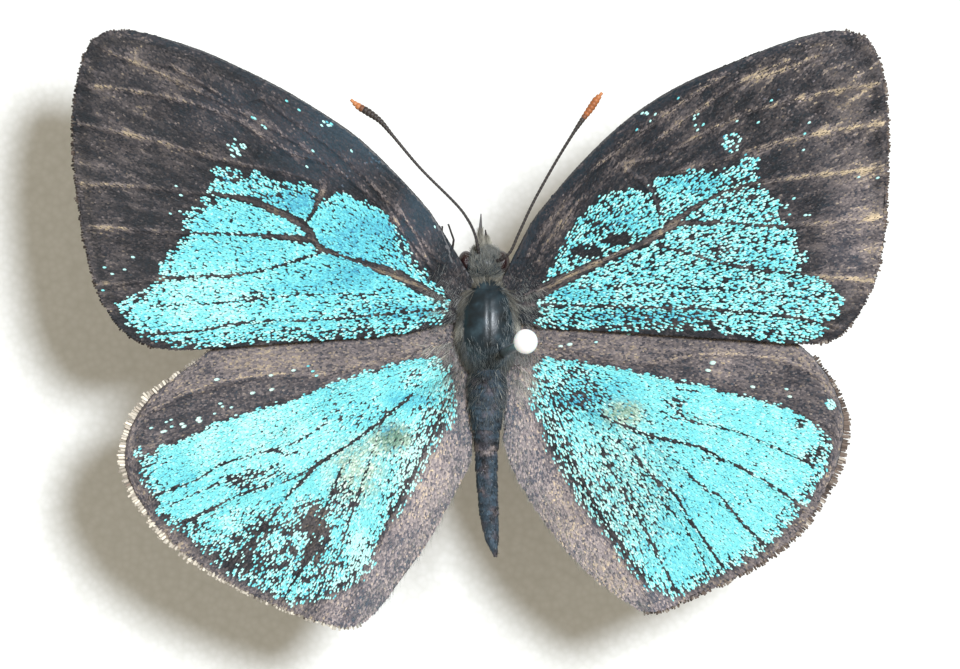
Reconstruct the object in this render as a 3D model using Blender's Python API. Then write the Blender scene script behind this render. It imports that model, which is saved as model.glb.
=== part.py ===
"""A small blue butterfly, pinned and spread, on a block of white pinning foam.

The block stands on z = 0 with the origin under its middle. The head points to +Y and
+X is the right-hand side of the picture seen from above. The pin leans a little, goes
through the thorax and stands in the foam. Body, wings, feelers and legs are one dried
animal, modelled piece by piece with a hairline gap where they meet.
"""

import math

import bmesh
import bpy
import numpy as np
from mathutils import Vector
from mathutils.geometry import delaunay_2d_cdt

MM = 0.001  # the point lists further down are in millimetres

# Foam block
BLOCK_LENGTH = 60 * MM
BLOCK_WIDTH = 45 * MM
BLOCK_HEIGHT = 14 * MM
BLOCK_EDGE = 0.6 * MM

# Pin
PIN_DIAMETER = 0.45 * MM
PIN_TIP_HEIGHT = 2 * MM
PIN_TOP_HEIGHT = 40 * MM
PIN_HEAD_DIAMETER = 1.2 * MM
PIN_POINT_LENGTH = 1.6 * MM
PIN_IN_THORAX = Vector((1.25, -0.88, 29.9)) * MM
PIN_AT_TOP = Vector((2.08, -0.34, 40.0)) * MM

# Body
BODY_X = 0.4 * MM
BODY_HEIGHT = 28.3 * MM
THORAX_HALF = Vector((1.5, 2.55, 1.5)) * MM
THORAX_Y = 0.35 * MM
HEAD_HALF = Vector((1.05, 0.88, 0.85)) * MM
HEAD_X = 0.2 * MM
HEAD_Y = 3.55 * MM
HEAD_DROP = 0.25 * MM
EYE_HALF = Vector((0.44, 0.56, 0.58)) * MM
EYE_OUT = 0.9 * MM
EYE_FORWARD = 0.12 * MM
ABDOMEN_HALF = 0.98 * MM

# Wings
WING_THICKNESS = 0.16 * MM
FOREWING_ROOT = 28.6 * MM
HINDWING_ROOT = 28.05 * MM
FOREWING_RISE = math.radians(2.4)
HINDWING_RISE = math.radians(1.6)
WING_DROOP = 0.6  # per metre: the tips hang a quarter of a millimetre below the straight line
VEIN_HALF_WIDTH = 0.15 * MM
VEIN_CREST = 0.07 * MM
PLEAT_DEPTH = 0.11 * MM
PLEAT_REACH = 0.8 * MM
OUTLINE_STEP = 0.85  # millimetres between points of a wing's edge
VEIN_STEP = 1.5
FILL_STEP = 1.9
VEIN_END_GAP = 0.45

# Feelers, mouth parts and legs
ANTENNA_RADIUS = 0.075 * MM
PALP_RADIUS = 0.14 * MM
LEG_RADIUS = 0.12 * MM
TONGUE_RADIUS = 0.07 * MM
TONGUE_COIL = 0.36 * MM
TONGUE_TURNS = 1.7

# Clearances between pieces that touch
PIECE_GAP = 0.04 * MM
PIN_GAP = 0.03 * MM

# Wing edges, root first, then along the front edge to the tip and back
FOREWING_LEFT = (
    (0.1, 2.0), (-0.9, 2.6), (-1.35, 3.6), (-1.75, 4.85), (-2.5, 6.15), (-4.0, 7.85), (-6.0, 9.8),
    (-8.0, 11.2), (-10.0, 12.4), (-12.0, 13.4), (-14.0, 14.3), (-16.0, 14.95), (-17.5, 15.3),
    (-18.8, 15.2), (-19.55, 14.7), (-20.1, 13.2), (-20.4, 11.2), (-20.4, 9.2), (-20.15, 6.7),
    (-19.8, 4.5), (-19.3, 2.4), (-18.4, 0.75), (-17.4, -0.2), (-16.3, -0.65), (-14.3, -0.75),
    (-12.0, -0.4), (-9.0, -0.2), (-6.0, -0.15), (-4.0, 0.05), (-2.0, 0.5), (-0.9, 0.85), (0.1, 1.1),
)
FOREWING_RIGHT = (
    (0.7, 2.0), (1.5, 2.7), (1.8, 3.8), (2.5, 5.5), (3.5, 6.8), (5.0, 8.55), (7.0, 10.5),
    (9.0, 11.95), (11.0, 13.0), (13.0, 13.8), (15.0, 14.6), (17.0, 15.2), (18.4, 15.3),
    (19.4, 14.95), (20.0, 13.9), (20.35, 12.0), (20.45, 9.2), (20.35, 6.7), (20.2, 4.5),
    (19.75, 2.6), (18.9, 0.95), (17.8, -0.2), (16.6, -0.45), (15.3, -0.4), (13.5, -0.15),
    (11.0, 0.2), (8.0, 0.3), (5.0, 0.3), (3.0, 0.4), (1.9, 0.8), (0.7, 1.1),
)
HINDWING_LEFT = (
    (0.1, 0.9), (-1.5, 1.1), (-3.0, 1.4), (-6.0, 1.5), (-9.0, 1.3), (-11.5, 0.6), (-13.2, -0.5),
    (-15.0, -1.95), (-16.6, -3.1), (-17.6, -4.6), (-17.95, -6.0), (-17.75, -7.3), (-16.9, -8.8),
    (-15.6, -10.35), (-14.0, -11.6), (-12.0, -12.8), (-9.8, -13.8), (-8.0, -14.45), (-6.8, -14.75),
    (-5.85, -14.5), (-4.75, -13.4), (-3.9, -12.1), (-3.0, -11.0), (-2.2, -9.7), (-1.1, -7.6),
    (-0.5, -6.4), (-0.4, -5.4), (-0.4, -3.6), (0.1, -1.6),
)
HINDWING_RIGHT = (
    (0.7, 0.9), (2.4, 1.2), (4.0, 1.5), (6.5, 1.8), (9.5, 1.9), (12.5, 1.3), (15.0, 0.2),
    (16.8, -1.1), (17.9, -2.7), (18.4, -4.2), (18.35, -5.3), (18.0, -6.7), (17.3, -8.1),
    (16.2, -9.7), (14.8, -11.0), (13.0, -12.1), (10.8, -13.15), (9.1, -13.9), (8.2, -13.95),
    (7.4, -13.45), (5.7, -12.25), (4.0, -10.4), (2.5, -8.3), (1.55, -6.5), (1.2, -5.3),
    (1.3, -3.8), (0.7, -1.6),
)

# Veins that stand up from the membrane, each from the root outwards
VEINS_FORE_LEFT = (
    ((-2.0, 3.6), (-3.3, 5.3), (-4.6, 6.7), (-6.6, 8.7), (-9.0, 10.5), (-11.0, 11.9)),
    ((-2.3, 3.2), (-3.9, 5.3), (-5.4, 6.9), (-7.6, 8.6), (-10.6, 10.5), (-13.6, 12.4), (-15.6, 13.6)),
    ((-7.6, 8.6), (-9.5, 9.1), (-12.2, 10.8), (-14.0, 11.5), (-16.0, 12.0), (-19.2, 12.5)),
    ((-10.6, 10.5), (-13.4, 11.9), (-16.0, 13.1), (-18.6, 14.2)),
    ((-7.9, 7.6), (-10.0, 8.2), (-13.0, 8.8), (-16.5, 9.8), (-20.1, 10.6)),
    ((-7.6, 8.6), (-7.9, 7.0), (-8.7, 5.6), (-8.0, 4.2)),
    ((-8.7, 5.6), (-11.2, 6.6), (-13.8, 7.1), (-16.5, 7.4), (-20.0, 7.6)),
    ((-8.4, 4.8), (-11.8, 5.0), (-14.5, 5.1), (-17.0, 5.3), (-19.6, 5.4)),
    ((-8.0, 4.2), (-9.5, 3.6), (-12.0, 3.0), (-16.0, 2.8), (-19.2, 2.5)),
    ((-1.4, 1.7), (-4.0, 3.0), (-6.8, 3.8), (-8.0, 4.2)),
    ((-1.4, 1.35), (-4.0, 1.1), (-7.0, 0.8), (-12.0, 0.6), (-15.0, 0.15), (-17.0, 0.1)),
)
VEINS_FORE_RIGHT = (
    ((2.4, 3.9), (4.0, 6.4), (6.0, 8.6), (8.6, 10.5), (10.6, 12.0), (12.4, 13.2)),
    ((2.9, 3.6), (4.8, 6.4), (7.0, 8.5), (9.2, 10.0), (11.0, 11.3), (13.0, 12.7), (15.5, 13.8)),
    ((13.0, 12.7), (15.0, 13.2), (17.2, 14.1)),
    ((7.0, 8.5), (9.0, 8.9), (11.4, 10.2), (13.5, 11.2), (17.0, 12.1), (20.0, 12.6)),
    ((8.1, 7.7), (11.8, 8.7), (15.0, 9.7), (18.0, 10.3), (20.2, 10.6)),
    ((7.0, 8.5), (8.3, 7.6), (9.0, 6.2), (9.0, 5.1)),
    ((9.0, 5.1), (10.5, 6.2), (12.0, 7.1), (13.8, 7.6), (17.5, 8.1), (20.2, 8.3)),
    ((9.0, 5.1), (10.0, 5.55), (12.0, 5.6), (15.0, 5.4), (20.0, 5.9)),
    ((8.2, 4.6), (10.0, 4.2), (12.0, 3.6), (14.0, 3.2), (19.7, 2.7)),
    ((2.2, 1.9), (5.0, 3.3), (7.0, 4.1), (9.0, 5.1)),
    ((2.2, 1.5), (7.0, 1.4), (11.0, 1.3), (15.0, 1.0), (18.0, 0.4)),
)
VEINS_HIND_LEFT = (
    ((-1.7, -0.4), (-4.0, -1.0), (-7.5, -2.0), (-11.5, -2.2), (-15.0, -3.1), (-16.9, -4.0)),
    ((-1.5, -1.0), (-4.0, -1.5), (-8.0, -2.7), (-11.0, -3.7), (-14.5, -5.0), (-17.4, -6.5)),
    ((-6.6, -2.4), (-9.0, -4.3), (-11.2, -5.7), (-13.2, -6.6), (-16.7, -8.3)),
    ((-1.0, -1.6), (-3.4, -3.0), (-5.0, -4.4), (-8.0, -6.4), (-11.0, -7.7), (-15.6, -9.8)),
    ((-7.8, -6.3), (-9.5, -7.9), (-11.0, -9.8), (-12.9, -11.9)),
    ((-5.4, -4.7), (-7.0, -7.0), (-8.2, -10.0), (-9.6, -13.3)),
    ((-0.9, -2.2), (-2.5, -5.3), (-4.0, -8.3), (-5.2, -10.8), (-6.6, -14.0)),
)
VEINS_HIND_RIGHT = (
    ((2.5, -0.3), (5.0, -0.9), (8.5, -1.5), (11.0, -1.0), (15.0, -1.2), (17.2, -2.2)),
    ((2.4, -0.9), (6.0, -1.45), (9.0, -2.1), (12.0, -2.7), (16.0, -3.8), (18.0, -5.0)),
    ((9.0, -2.3), (10.5, -4.0), (13.0, -4.8), (17.6, -6.8)),
    ((2.0, -1.6), (3.4, -2.5), (6.0, -4.0), (8.5, -5.1), (11.0, -5.6), (13.2, -6.7), (16.4, -8.9)),
    ((8.5, -5.3), (11.0, -7.5), (12.6, -8.8), (14.4, -10.8)),
    ((6.6, -4.4), (8.8, -7.3), (10.5, -9.3), (12.0, -12.0)),
    ((1.9, -2.1), (3.2, -3.6), (4.9, -6.8), (6.2, -9.3), (8.5, -13.3)),
)

# Paths of the thin pieces
ANTENNA_LEFT = (
    (0.0, 3.8, 28.5), (-0.1, 4.3, 28.95), (-0.25, 5.0, 29.05), (-0.6, 5.75, 29.2), (-1.25, 6.6, 29.35),
    (-3.0, 8.35, 29.6), (-4.4, 10.0, 29.8), (-5.0, 10.7, 29.85), (-5.6, 11.15, 29.9), (-6.1, 11.45, 29.9),
    (-6.45, 11.75, 29.9),
)
ANTENNA_RIGHT = (
    (0.6, 3.65, 28.5), (1.0, 3.78, 28.98), (1.5, 4.15, 29.1), (1.95, 5.1, 29.2), (2.7, 6.7, 29.4),
    (3.75, 8.6, 29.6), (4.6, 10.0, 29.8), (5.1, 10.75, 29.85), (5.5, 11.3, 29.9), (5.8, 11.75, 29.9),
    (6.0, 12.0, 29.9),
)
ANTENNA_SHARE = (1.3, 1.2, 1.0, 1.0, 1.0, 1.0, 1.15, 1.9, 2.7, 2.6, 1.1)
PALP_LEFT = ((0.0, 3.9, 28.1), (-0.02, 4.6, 28.35), (0.02, 5.2, 28.45), (0.05, 6.1, 28.5))
PALP_RIGHT = ((0.45, 3.9, 28.0), (0.4, 4.5, 28.05), (0.32, 4.95, 28.05), (0.28, 5.3, 27.95))
PALP_SHARE = (1.0, 1.25, 0.7, 0.2)
LEGS = {
    "foreleg_left": (
        (0.0, 1.4, 27.6), (-0.6, 1.9, 26.5), (-1.1, 3.2, 26.4), (-1.4, 4.3, 27.2), (-1.32, 4.8, 27.5),
        (-1.6, 5.6, 27.6),
    ),
    "foreleg_right": (
        (0.8, 1.4, 27.6), (1.4, 1.9, 26.5), (1.9, 3.1, 26.4), (2.6, 4.2, 27.1), (3.0, 5.0, 27.5),
    ),
    "midleg_left": (
        (0.0, 0.4, 27.4), (-0.8, 0.9, 26.2), (-1.6, 2.4, 26.2), (-1.95, 4.4, 27.3), (-1.9, 5.5, 27.6),
    ),
    "midleg_right": (
        (0.8, 0.4, 27.4), (1.6, 0.9, 26.2), (2.5, 2.2, 26.2), (3.2, 3.6, 26.9), (3.7, 4.6, 27.4),
    ),
    "hindleg_left": (
        (0.1, -0.7, 27.3), (-0.8, -0.9, 26.1), (-1.7, -0.4, 25.8), (-2.0, -2.0, 26.4), (-1.6, -3.6, 26.8),
    ),
    "hindleg_right": (
        (0.9, -0.3, 27.3), (1.7, -0.3, 26.2), (2.4, 0.1, 25.8), (2.8, -1.6, 26.4), (2.5, -3.2, 26.8),
    ),
}
LEG_SHARE = (1.0, 1.25, 0.8, 0.55, 0.4)

# Abdomen: places along its middle line and the half width there, as a share of the widest
ABDOMEN_PATH = ((0.4, -1.6, 28.3), (0.42, -4.0, 28.3), (0.48, -7.0, 28.15), (0.6, -11.1, 28.0))
ABDOMEN_SHARE = ((0.0, 0.82), (0.15, 1.0), (0.35, 0.92), (0.55, 0.62), (0.75, 0.5), (0.92, 0.35), (1.0, 0.12))
ABDOMEN_RINGS = 9
RING_NOTCH = 0.07


def clear_scene():
    for obj in list(bpy.data.objects):
        bpy.data.objects.remove(obj, do_unlink=True)


def to_linear(value):
    return value / 12.92 if value <= 0.04045 else ((value + 0.055) / 1.055) ** 2.4


def finish(name, hex_colour, roughness, metallic=0.0):
    """A plain Principled finish in one sRGB colour."""
    made = bpy.data.materials.new(name)
    made.use_nodes = True
    shader = made.node_tree.nodes["Principled BSDF"]
    channels = [int(hex_colour[i : i + 2], 16) / 255 for i in (1, 3, 5)]
    shader.inputs["Base Color"].default_value = [to_linear(c) for c in channels] + [1.0]
    shader.inputs["Roughness"].default_value = roughness
    shader.inputs["Metallic"].default_value = metallic
    return made


def place(name, mesh, material, sharp_above=50):
    """A mesh as an object of its own, shaded smooth except at its real edges."""
    obj = bpy.data.objects.new(name, mesh)
    bpy.context.scene.collection.objects.link(obj)
    mesh.materials.clear()
    mesh.materials.append(material)
    mesh.shade_smooth()
    mesh.set_sharp_from_angle(angle=math.radians(sharp_above))
    return obj


def mesh_of(bm, name):
    bmesh.ops.recalc_face_normals(bm, faces=bm.faces)
    mesh = bpy.data.meshes.new(name)
    bm.to_mesh(mesh)
    bm.free()
    return mesh


def cut(target, cutter):
    """Takes the cutter's form out of the target and keeps it as a hidden guide."""
    cutter.hide_render = True
    cutter.display_type = "WIRE"
    boolean = target.modifiers.new("clear of " + cutter.name, "BOOLEAN")
    boolean.operation = "DIFFERENCE"
    boolean.object = cutter


def swollen(obj, gap):
    """A copy of a piece, each point moved outwards by the gap, to cut its neighbours with."""
    mesh = obj.data.copy()
    normals = [vertex.normal.copy() for vertex in mesh.vertices]
    for vertex, normal in zip(mesh.vertices, normals):
        vertex.co += normal * gap
    copy = bpy.data.objects.new(obj.name + "_room", mesh)
    bpy.context.scene.collection.objects.link(copy)
    return copy


def smooth_path(points, step, closed=False):
    """Points about one step apart on a smooth curve through the given ones."""
    given = np.array(points, float)
    count = len(given)
    spans = count if closed else count - 1
    path = []
    for i in range(spans):
        if closed:
            before, start, end, after = (given[(i + k) % count] for k in (-1, 0, 1, 2))
        else:
            before, start, end, after = (given[min(max(i + k, 0), count - 1)] for k in (-1, 0, 1, 2))
        pieces = max(1, round(float(np.linalg.norm(end - start)) / step))
        for t in np.arange(pieces) / pieces:
            bend = 2 * before - 5 * start + 4 * end - after
            twist = 3 * start - before - 3 * end + after
            path.append(start + 0.5 * t * ((end - before) + t * (bend + t * twist)))
    if not closed:
        path.append(given[-1])
    return np.array(path)


def distance_to_lines(place_xy, lines):
    """The shortest distance from a point to any of several polylines."""
    nearest = math.inf
    for line in lines:
        start, along = line[:-1], np.diff(line, axis=0)
        share = np.einsum("ij,ij->i", place_xy - start, along) / np.einsum("ij,ij->i", along, along)
        foot = start + np.clip(share, 0, 1)[:, None] * along
        nearest = min(nearest, float(np.linalg.norm(foot - place_xy, axis=1).min()))
    return nearest


def flanks(line, half_width):
    """The two feet of a vein: its line moved sideways, left and right."""
    along = np.gradient(line, axis=0)
    along /= np.linalg.norm(along, axis=1)[:, None]
    sideways = np.stack([-along[:, 1], along[:, 0]], axis=1) * half_width
    return line + sideways, line - sideways


def inside(place_xy, outline):
    """Whether a point lies within a closed outline."""
    x, y = place_xy
    ahead = np.roll(outline, -1, axis=0)
    crosses = (outline[:, 1] > y) != (ahead[:, 1] > y)
    slope = np.where(crosses, ahead[:, 1] - outline[:, 1], 1.0)
    at_x = outline[:, 0] + (y - outline[:, 1]) * (ahead[:, 0] - outline[:, 0]) / slope
    return bool(np.count_nonzero(crosses & (x < at_x)) % 2)


def wing_points(outline, veins):
    """Points and edges of a wing seen from above: its edge, its veins and a loose fill."""
    points = [tuple(p) for p in outline]
    count = len(points)
    edges = [(i, (i + 1) % count) for i in range(count)]
    rim = np.vstack([outline, outline[:1]])
    half = VEIN_HALF_WIDTH / MM
    for vein in veins:
        for strand in (vein, *flanks(vein, half)):
            kept = [
                tuple(p)
                for p in strand
                if inside(p, outline) and distance_to_lines(p, [rim]) > VEIN_END_GAP / 2
            ]
            edges += [(len(points) + i, len(points) + i + 1) for i in range(len(kept) - 1)]
            points += kept
    lowest, highest = outline.min(axis=0), outline.max(axis=0)
    row_step = FILL_STEP * math.sqrt(3) / 2
    for row, y in enumerate(np.arange(lowest[1], highest[1], row_step)):
        for x in np.arange(lowest[0] + (row % 2) * FILL_STEP / 2, highest[0], FILL_STEP):
            spot = np.array((x, y))
            if not inside(spot, outline) or distance_to_lines(spot, [rim]) < FILL_STEP / 3:
                continue
            if distance_to_lines(spot, veins) > FILL_STEP / 3:
                points.append((float(x), float(y)))
    return points, edges


def wing(name, outline_points, vein_points, root_height, rise, material):
    """A thin cambered plate whose veins stand up above and below a pleated membrane."""
    outline = smooth_path(outline_points, OUTLINE_STEP, closed=True)
    veins = [smooth_path(points, VEIN_STEP) for points in vein_points]
    points, edges = wing_points(outline, veins)
    flat = [Vector(p) for p in points]
    spots, _, faces, _, _, _ = delaunay_2d_cdt(flat, edges, [], 1, 1e-4, False)
    bm = bmesh.new()
    top, bottom = [], []
    for spot in spots:
        off_vein = distance_to_lines(np.array(spot), veins) * MM
        out = abs(spot.x * MM - BODY_X)
        middle = root_height + math.tan(rise) * out - WING_DROOP * out * out
        middle -= PLEAT_DEPTH * (1 - math.exp(-((off_vein / PLEAT_REACH) ** 2)))
        half = WING_THICKNESS / 2 + VEIN_CREST * max(0.0, 1 - off_vein / VEIN_HALF_WIDTH)
        top.append(bm.verts.new((spot.x * MM, spot.y * MM, middle + half)))
        bottom.append(bm.verts.new((spot.x * MM, spot.y * MM, middle - half)))
    for face in faces:
        bm.faces.new([top[i] for i in face])
    rim = [edge for edge in bm.edges if edge.is_boundary]
    index = {vertex: i for i, vertex in enumerate(top)}
    for edge in rim:
        first, second = (index[vertex] for vertex in edge.verts)
        bm.faces.new((top[first], top[second], bottom[second], bottom[first]))
    for face in faces:
        bm.faces.new([bottom[i] for i in reversed(face)])
    loose = [vertex for vertex in bm.verts if not vertex.link_faces]
    bmesh.ops.delete(bm, geom=loose, context="VERTS")
    return place(name, mesh_of(bm, name), material, sharp_above=60)


def tube(name, points, shares, radius, material, step, sides=6):
    """A round piece along a smooth path, thicker or thinner from place to place."""
    path = smooth_path(points, step)
    given = np.linspace(0, 1, len(shares))
    curve = bpy.data.curves.new(name, "CURVE")
    curve.dimensions = "3D"
    curve.bevel_depth = radius
    curve.bevel_resolution = (sides - 4) // 2
    curve.use_fill_caps = True
    spline = curve.splines.new("POLY")
    spline.points.add(len(path) - 1)
    for i, (point, spot) in enumerate(zip(spline.points, path)):
        point.co = (*(spot * MM), 1.0)
        point.radius = float(np.interp(i / (len(path) - 1), given, shares))
    guide = bpy.data.objects.new(name + "_path", curve)
    bpy.context.scene.collection.objects.link(guide)
    swept = bpy.data.meshes.new_from_object(guide)
    bpy.data.objects.remove(guide)
    bm = bmesh.new()
    bm.from_mesh(swept)
    bmesh.ops.remove_doubles(bm, verts=bm.verts, dist=1e-7)
    return place(name, mesh_of(bm, name), material)


def ellipsoid(name, centre, half, material, around=16, along=11):
    """A rounded body whose poles lie on the Y axis, as an insect's parts grow."""
    bm = bmesh.new()
    bmesh.ops.create_uvsphere(bm, u_segments=around, v_segments=along, radius=1)
    for vertex in bm.verts:
        x, y, z = vertex.co
        vertex.co = centre + Vector((x * half.x, z * half.y, -y * half.z))
    return place(name, mesh_of(bm, name), material)


def make_foam_block(material):
    bm = bmesh.new()
    bmesh.ops.create_cube(bm, size=1)
    for vertex in bm.verts:
        vertex.co.x *= BLOCK_LENGTH
        vertex.co.y *= BLOCK_WIDTH
        vertex.co.z = (vertex.co.z + 0.5) * BLOCK_HEIGHT
    bmesh.ops.bevel(bm, geom=bm.edges[:], offset=BLOCK_EDGE, segments=3, profile=0.5, affect="EDGES")
    return place("foam_block", mesh_of(bm, "foam_block"), material, sharp_above=60)


def pin_spot(height):
    """Where the leaning pin's middle line passes at a height."""
    lean = (PIN_AT_TOP - PIN_IN_THORAX) / (PIN_AT_TOP.z - PIN_IN_THORAX.z)
    return PIN_IN_THORAX + lean * (height - PIN_IN_THORAX.z)


def make_pin(steel, nylon):
    heights = (PIN_TIP_HEIGHT, PIN_TIP_HEIGHT + PIN_POINT_LENGTH, PIN_TOP_HEIGHT)
    route = [tuple(pin_spot(height) / MM) for height in heights]
    shaft = tube("pin_shaft", route, (0.08, 1.0, 1.0), PIN_DIAMETER / 2, steel, step=50, sides=12)
    ball = ellipsoid(
        "pin_head", pin_spot(PIN_TOP_HEIGHT), Vector((1, 1, 1)) * PIN_HEAD_DIAMETER / 2, nylon, 14, 10
    )
    cut(ball, swollen(shaft, PIN_GAP))
    return shaft


def make_pin_hole():
    """The room that the pin takes in the thorax and the foam, a hair wider than the pin."""
    low = PIN_TIP_HEIGHT - 2 * PIN_GAP
    high = PIN_IN_THORAX.z + 2 * MM
    route = [tuple(pin_spot(height) / MM) for height in (low, high)]
    hole = tube("pin_hole", route, (1.0, 1.0), PIN_DIAMETER / 2 + PIN_GAP, None, step=50, sides=12)
    return hole


def make_abdomen(material):
    """Telescoped rings that narrow to the tip, each a little tighter at its seam."""
    places, shares = zip(*ABDOMEN_SHARE)
    count = 2 * ABDOMEN_RINGS + 1
    along = np.linspace(0, 1, count)
    notches = [1 - RING_NOTCH * (i % 2) for i in range(count)]
    ring_shares = [float(np.interp(t, places, shares)) * notch for t, notch in zip(along, notches)]
    path = smooth_path(ABDOMEN_PATH, 0.05)
    route = [tuple(path[round(t * (len(path) - 1))]) for t in along]
    return tube("abdomen", route, ring_shares, ABDOMEN_HALF, material, step=50, sides=12)


def make_tongue(material):
    """The sucking tongue, rolled up like a watch spring under the head."""
    turns = []
    for i in range(19):
        share = i / 18
        angle = math.pi / 2 - share * TONGUE_TURNS * 2 * math.pi
        reach = TONGUE_COIL / MM * (1 - 0.62 * share)
        turns.append(
            (
                HEAD_X / MM,
                HEAD_Y / MM + 0.15 + reach * math.cos(angle),
                (BODY_HEIGHT - HEAD_DROP) / MM - 1.1 + reach * math.sin(angle),
            )
        )
    return tube("tongue", turns, (1.0, 0.9, 0.6), TONGUE_RADIUS, material, step=50)


def build():
    clear_scene()
    foam = finish("white_foam", "#F2F1EE", 0.9)
    steel = finish("pin_steel", "#B9BCC0", 0.3, 1.0)
    nylon = finish("white_nylon", "#F4F4F2", 0.35)
    body = finish("body_cuticle", "#2C343C", 0.6)
    eye = finish("eye", "#2A1516", 0.25)
    horn = finish("antenna_horn", "#3A332F", 0.5)
    membrane = finish("wing_membrane", "#4B4244", 0.7)

    block = make_foam_block(foam)
    hole = make_pin_hole()
    cut(block, hole)
    make_pin(steel, nylon)

    middle = Vector((BODY_X, THORAX_Y, BODY_HEIGHT))
    thorax = ellipsoid("thorax", middle, THORAX_HALF, body, 18, 12)
    thorax_room = swollen(thorax, PIECE_GAP)
    cut(thorax, hole)

    head_middle = Vector((HEAD_X, HEAD_Y, BODY_HEIGHT - HEAD_DROP))
    head = ellipsoid("head", head_middle, HEAD_HALF, body, 14, 9)
    head_room = swollen(head, PIECE_GAP)
    cut(head, thorax_room)
    for side, name in ((-1, "eye_left"), (1, "eye_right")):
        spot = head_middle + Vector((side * EYE_OUT, EYE_FORWARD, 0))
        ball = ellipsoid(name, spot, EYE_HALF, eye, 10, 7)
        cut(head, swollen(ball, PIECE_GAP))

    abdomen = make_abdomen(body)
    abdomen_room = swollen(abdomen, PIECE_GAP)
    cut(abdomen, thorax_room)

    for name, path in (("antenna_left", ANTENNA_LEFT), ("antenna_right", ANTENNA_RIGHT)):
        feeler = tube(name, path, ANTENNA_SHARE, ANTENNA_RADIUS, horn, step=0.6)
        cut(feeler, head_room)
    for name, path in (("palp_left", PALP_LEFT), ("palp_right", PALP_RIGHT)):
        cut(tube(name, path, PALP_SHARE, PALP_RADIUS, body, step=0.4), head_room)
    cut(make_tongue(horn), head_room)
    for name, path in LEGS.items():
        cut(tube(name, path, LEG_SHARE, LEG_RADIUS, horn, step=0.8), thorax_room)

    wings = (
        ("forewing_left", FOREWING_LEFT, VEINS_FORE_LEFT, FOREWING_ROOT, FOREWING_RISE),
        ("forewing_right", FOREWING_RIGHT, VEINS_FORE_RIGHT, FOREWING_ROOT, FOREWING_RISE),
        ("hindwing_left", HINDWING_LEFT, VEINS_HIND_LEFT, HINDWING_ROOT, HINDWING_RISE),
        ("hindwing_right", HINDWING_RIGHT, VEINS_HIND_RIGHT, HINDWING_ROOT, HINDWING_RISE),
    )
    for name, outline, veins, root_height, rise in wings:
        plate = wing(name, outline, veins, root_height, rise, membrane)
        cut(plate, thorax_room)
        if name.startswith("hind"):
            cut(plate, abdomen_room)


build()
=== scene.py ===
# %% [markdown]
# # A pinned blue butterfly
# This notebook dresses a small mounted butterfly: four wings shingled with thousands of tiny scales, a dark
# body with hair at its sides, two ringed feelers, a steel pin and a block of white foam. The solids come from
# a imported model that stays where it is. Everything made here grows on those solids.

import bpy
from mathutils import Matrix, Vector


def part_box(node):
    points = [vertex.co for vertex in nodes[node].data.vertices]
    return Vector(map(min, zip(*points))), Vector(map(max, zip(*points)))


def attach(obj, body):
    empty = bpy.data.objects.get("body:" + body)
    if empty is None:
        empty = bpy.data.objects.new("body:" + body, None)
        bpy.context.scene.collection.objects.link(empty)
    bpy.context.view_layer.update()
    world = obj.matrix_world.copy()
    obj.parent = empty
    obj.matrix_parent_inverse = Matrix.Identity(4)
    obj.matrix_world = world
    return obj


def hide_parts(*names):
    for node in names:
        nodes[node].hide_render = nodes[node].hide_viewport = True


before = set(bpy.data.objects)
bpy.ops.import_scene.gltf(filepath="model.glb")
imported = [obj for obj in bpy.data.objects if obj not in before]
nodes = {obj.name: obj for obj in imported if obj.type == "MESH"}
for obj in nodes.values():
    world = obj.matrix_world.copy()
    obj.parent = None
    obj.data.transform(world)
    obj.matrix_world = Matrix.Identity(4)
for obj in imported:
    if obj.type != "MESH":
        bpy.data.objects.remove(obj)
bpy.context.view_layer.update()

# %% [markdown]
# ## Modules and units
# Blender counts in metres, but a butterfly is easier to think of in millimetres. So every list below is in
# millimetres, and is turned to metres only where a mesh or a pattern is made. Two small functions put an
# object in the scene, so that later cells needn't repeat how.

# %% Modules and units
import math
from types import SimpleNamespace

import bpy
import numpy as np
from mathutils import Vector, noise
from mathutils.bvhtree import BVHTree

MM = 0.001
BODY = "root"


def put(name, data):
    """A new object in the scene that shows a mesh, a camera or a lamp."""
    made = bpy.data.objects.new(name, data)
    bpy.context.scene.collection.objects.link(made)
    return made


def put_mesh(name, points, faces):
    mesh = bpy.data.meshes.new(name)
    mesh.from_pydata(points, [], faces)
    return put(name, mesh)


print("a millimetre is", MM, "of Blender's units")

# %% [markdown]
# ## Camera
# The picture looks straight down with the head up. A long lens from a forearm's length above keeps the wings
# flat and shows the pin's ball, which stands nearer the lens, a little to one side of the pin's foot.

# %% Camera
WING_PLANE = 28.5 * MM
VIEW_WIDTH = 48.5 * MM
LENS_DISTANCE = 260 * MM
LENS_ASIDE = 2.8 * MM  # the lens stands a little left of the middle and is shifted back
SENSOR = 36.0
NEAREST_SEEN = 0.01

camera = put("camera", bpy.data.cameras.new("camera"))
camera.location = (-LENS_ASIDE, 0, WING_PLANE + LENS_DISTANCE)
camera.data.sensor_width = SENSOR
camera.data.shift_x = LENS_ASIDE / VIEW_WIDTH
camera.data.lens = SENSOR * LENS_DISTANCE / VIEW_WIDTH
camera.data.clip_start = NEAREST_SEEN
bpy.context.scene.camera = camera
print("lens", round(camera.data.lens, 1), "mm")

# %% [markdown]
# ## Colour and node helpers
# Maker's colours are written as sRGB hex, as a colour picker gives them. Blender's shaders work on linear
# values, so one function turns them. A second small function adds a node with its settings and links: it
# serves the materials and the geometry trees alike.

# %% Helpers for colours and nodes
def colour(hex_code):
    """An sRGB hex colour as linear RGBA."""
    channels = [int(hex_code[i : i + 2], 16) / 255 for i in (1, 3, 5)]
    return [c / 12.92 if c <= 0.04045 else ((c + 0.055) / 1.055) ** 2.4 for c in channels] + [1.0]


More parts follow.
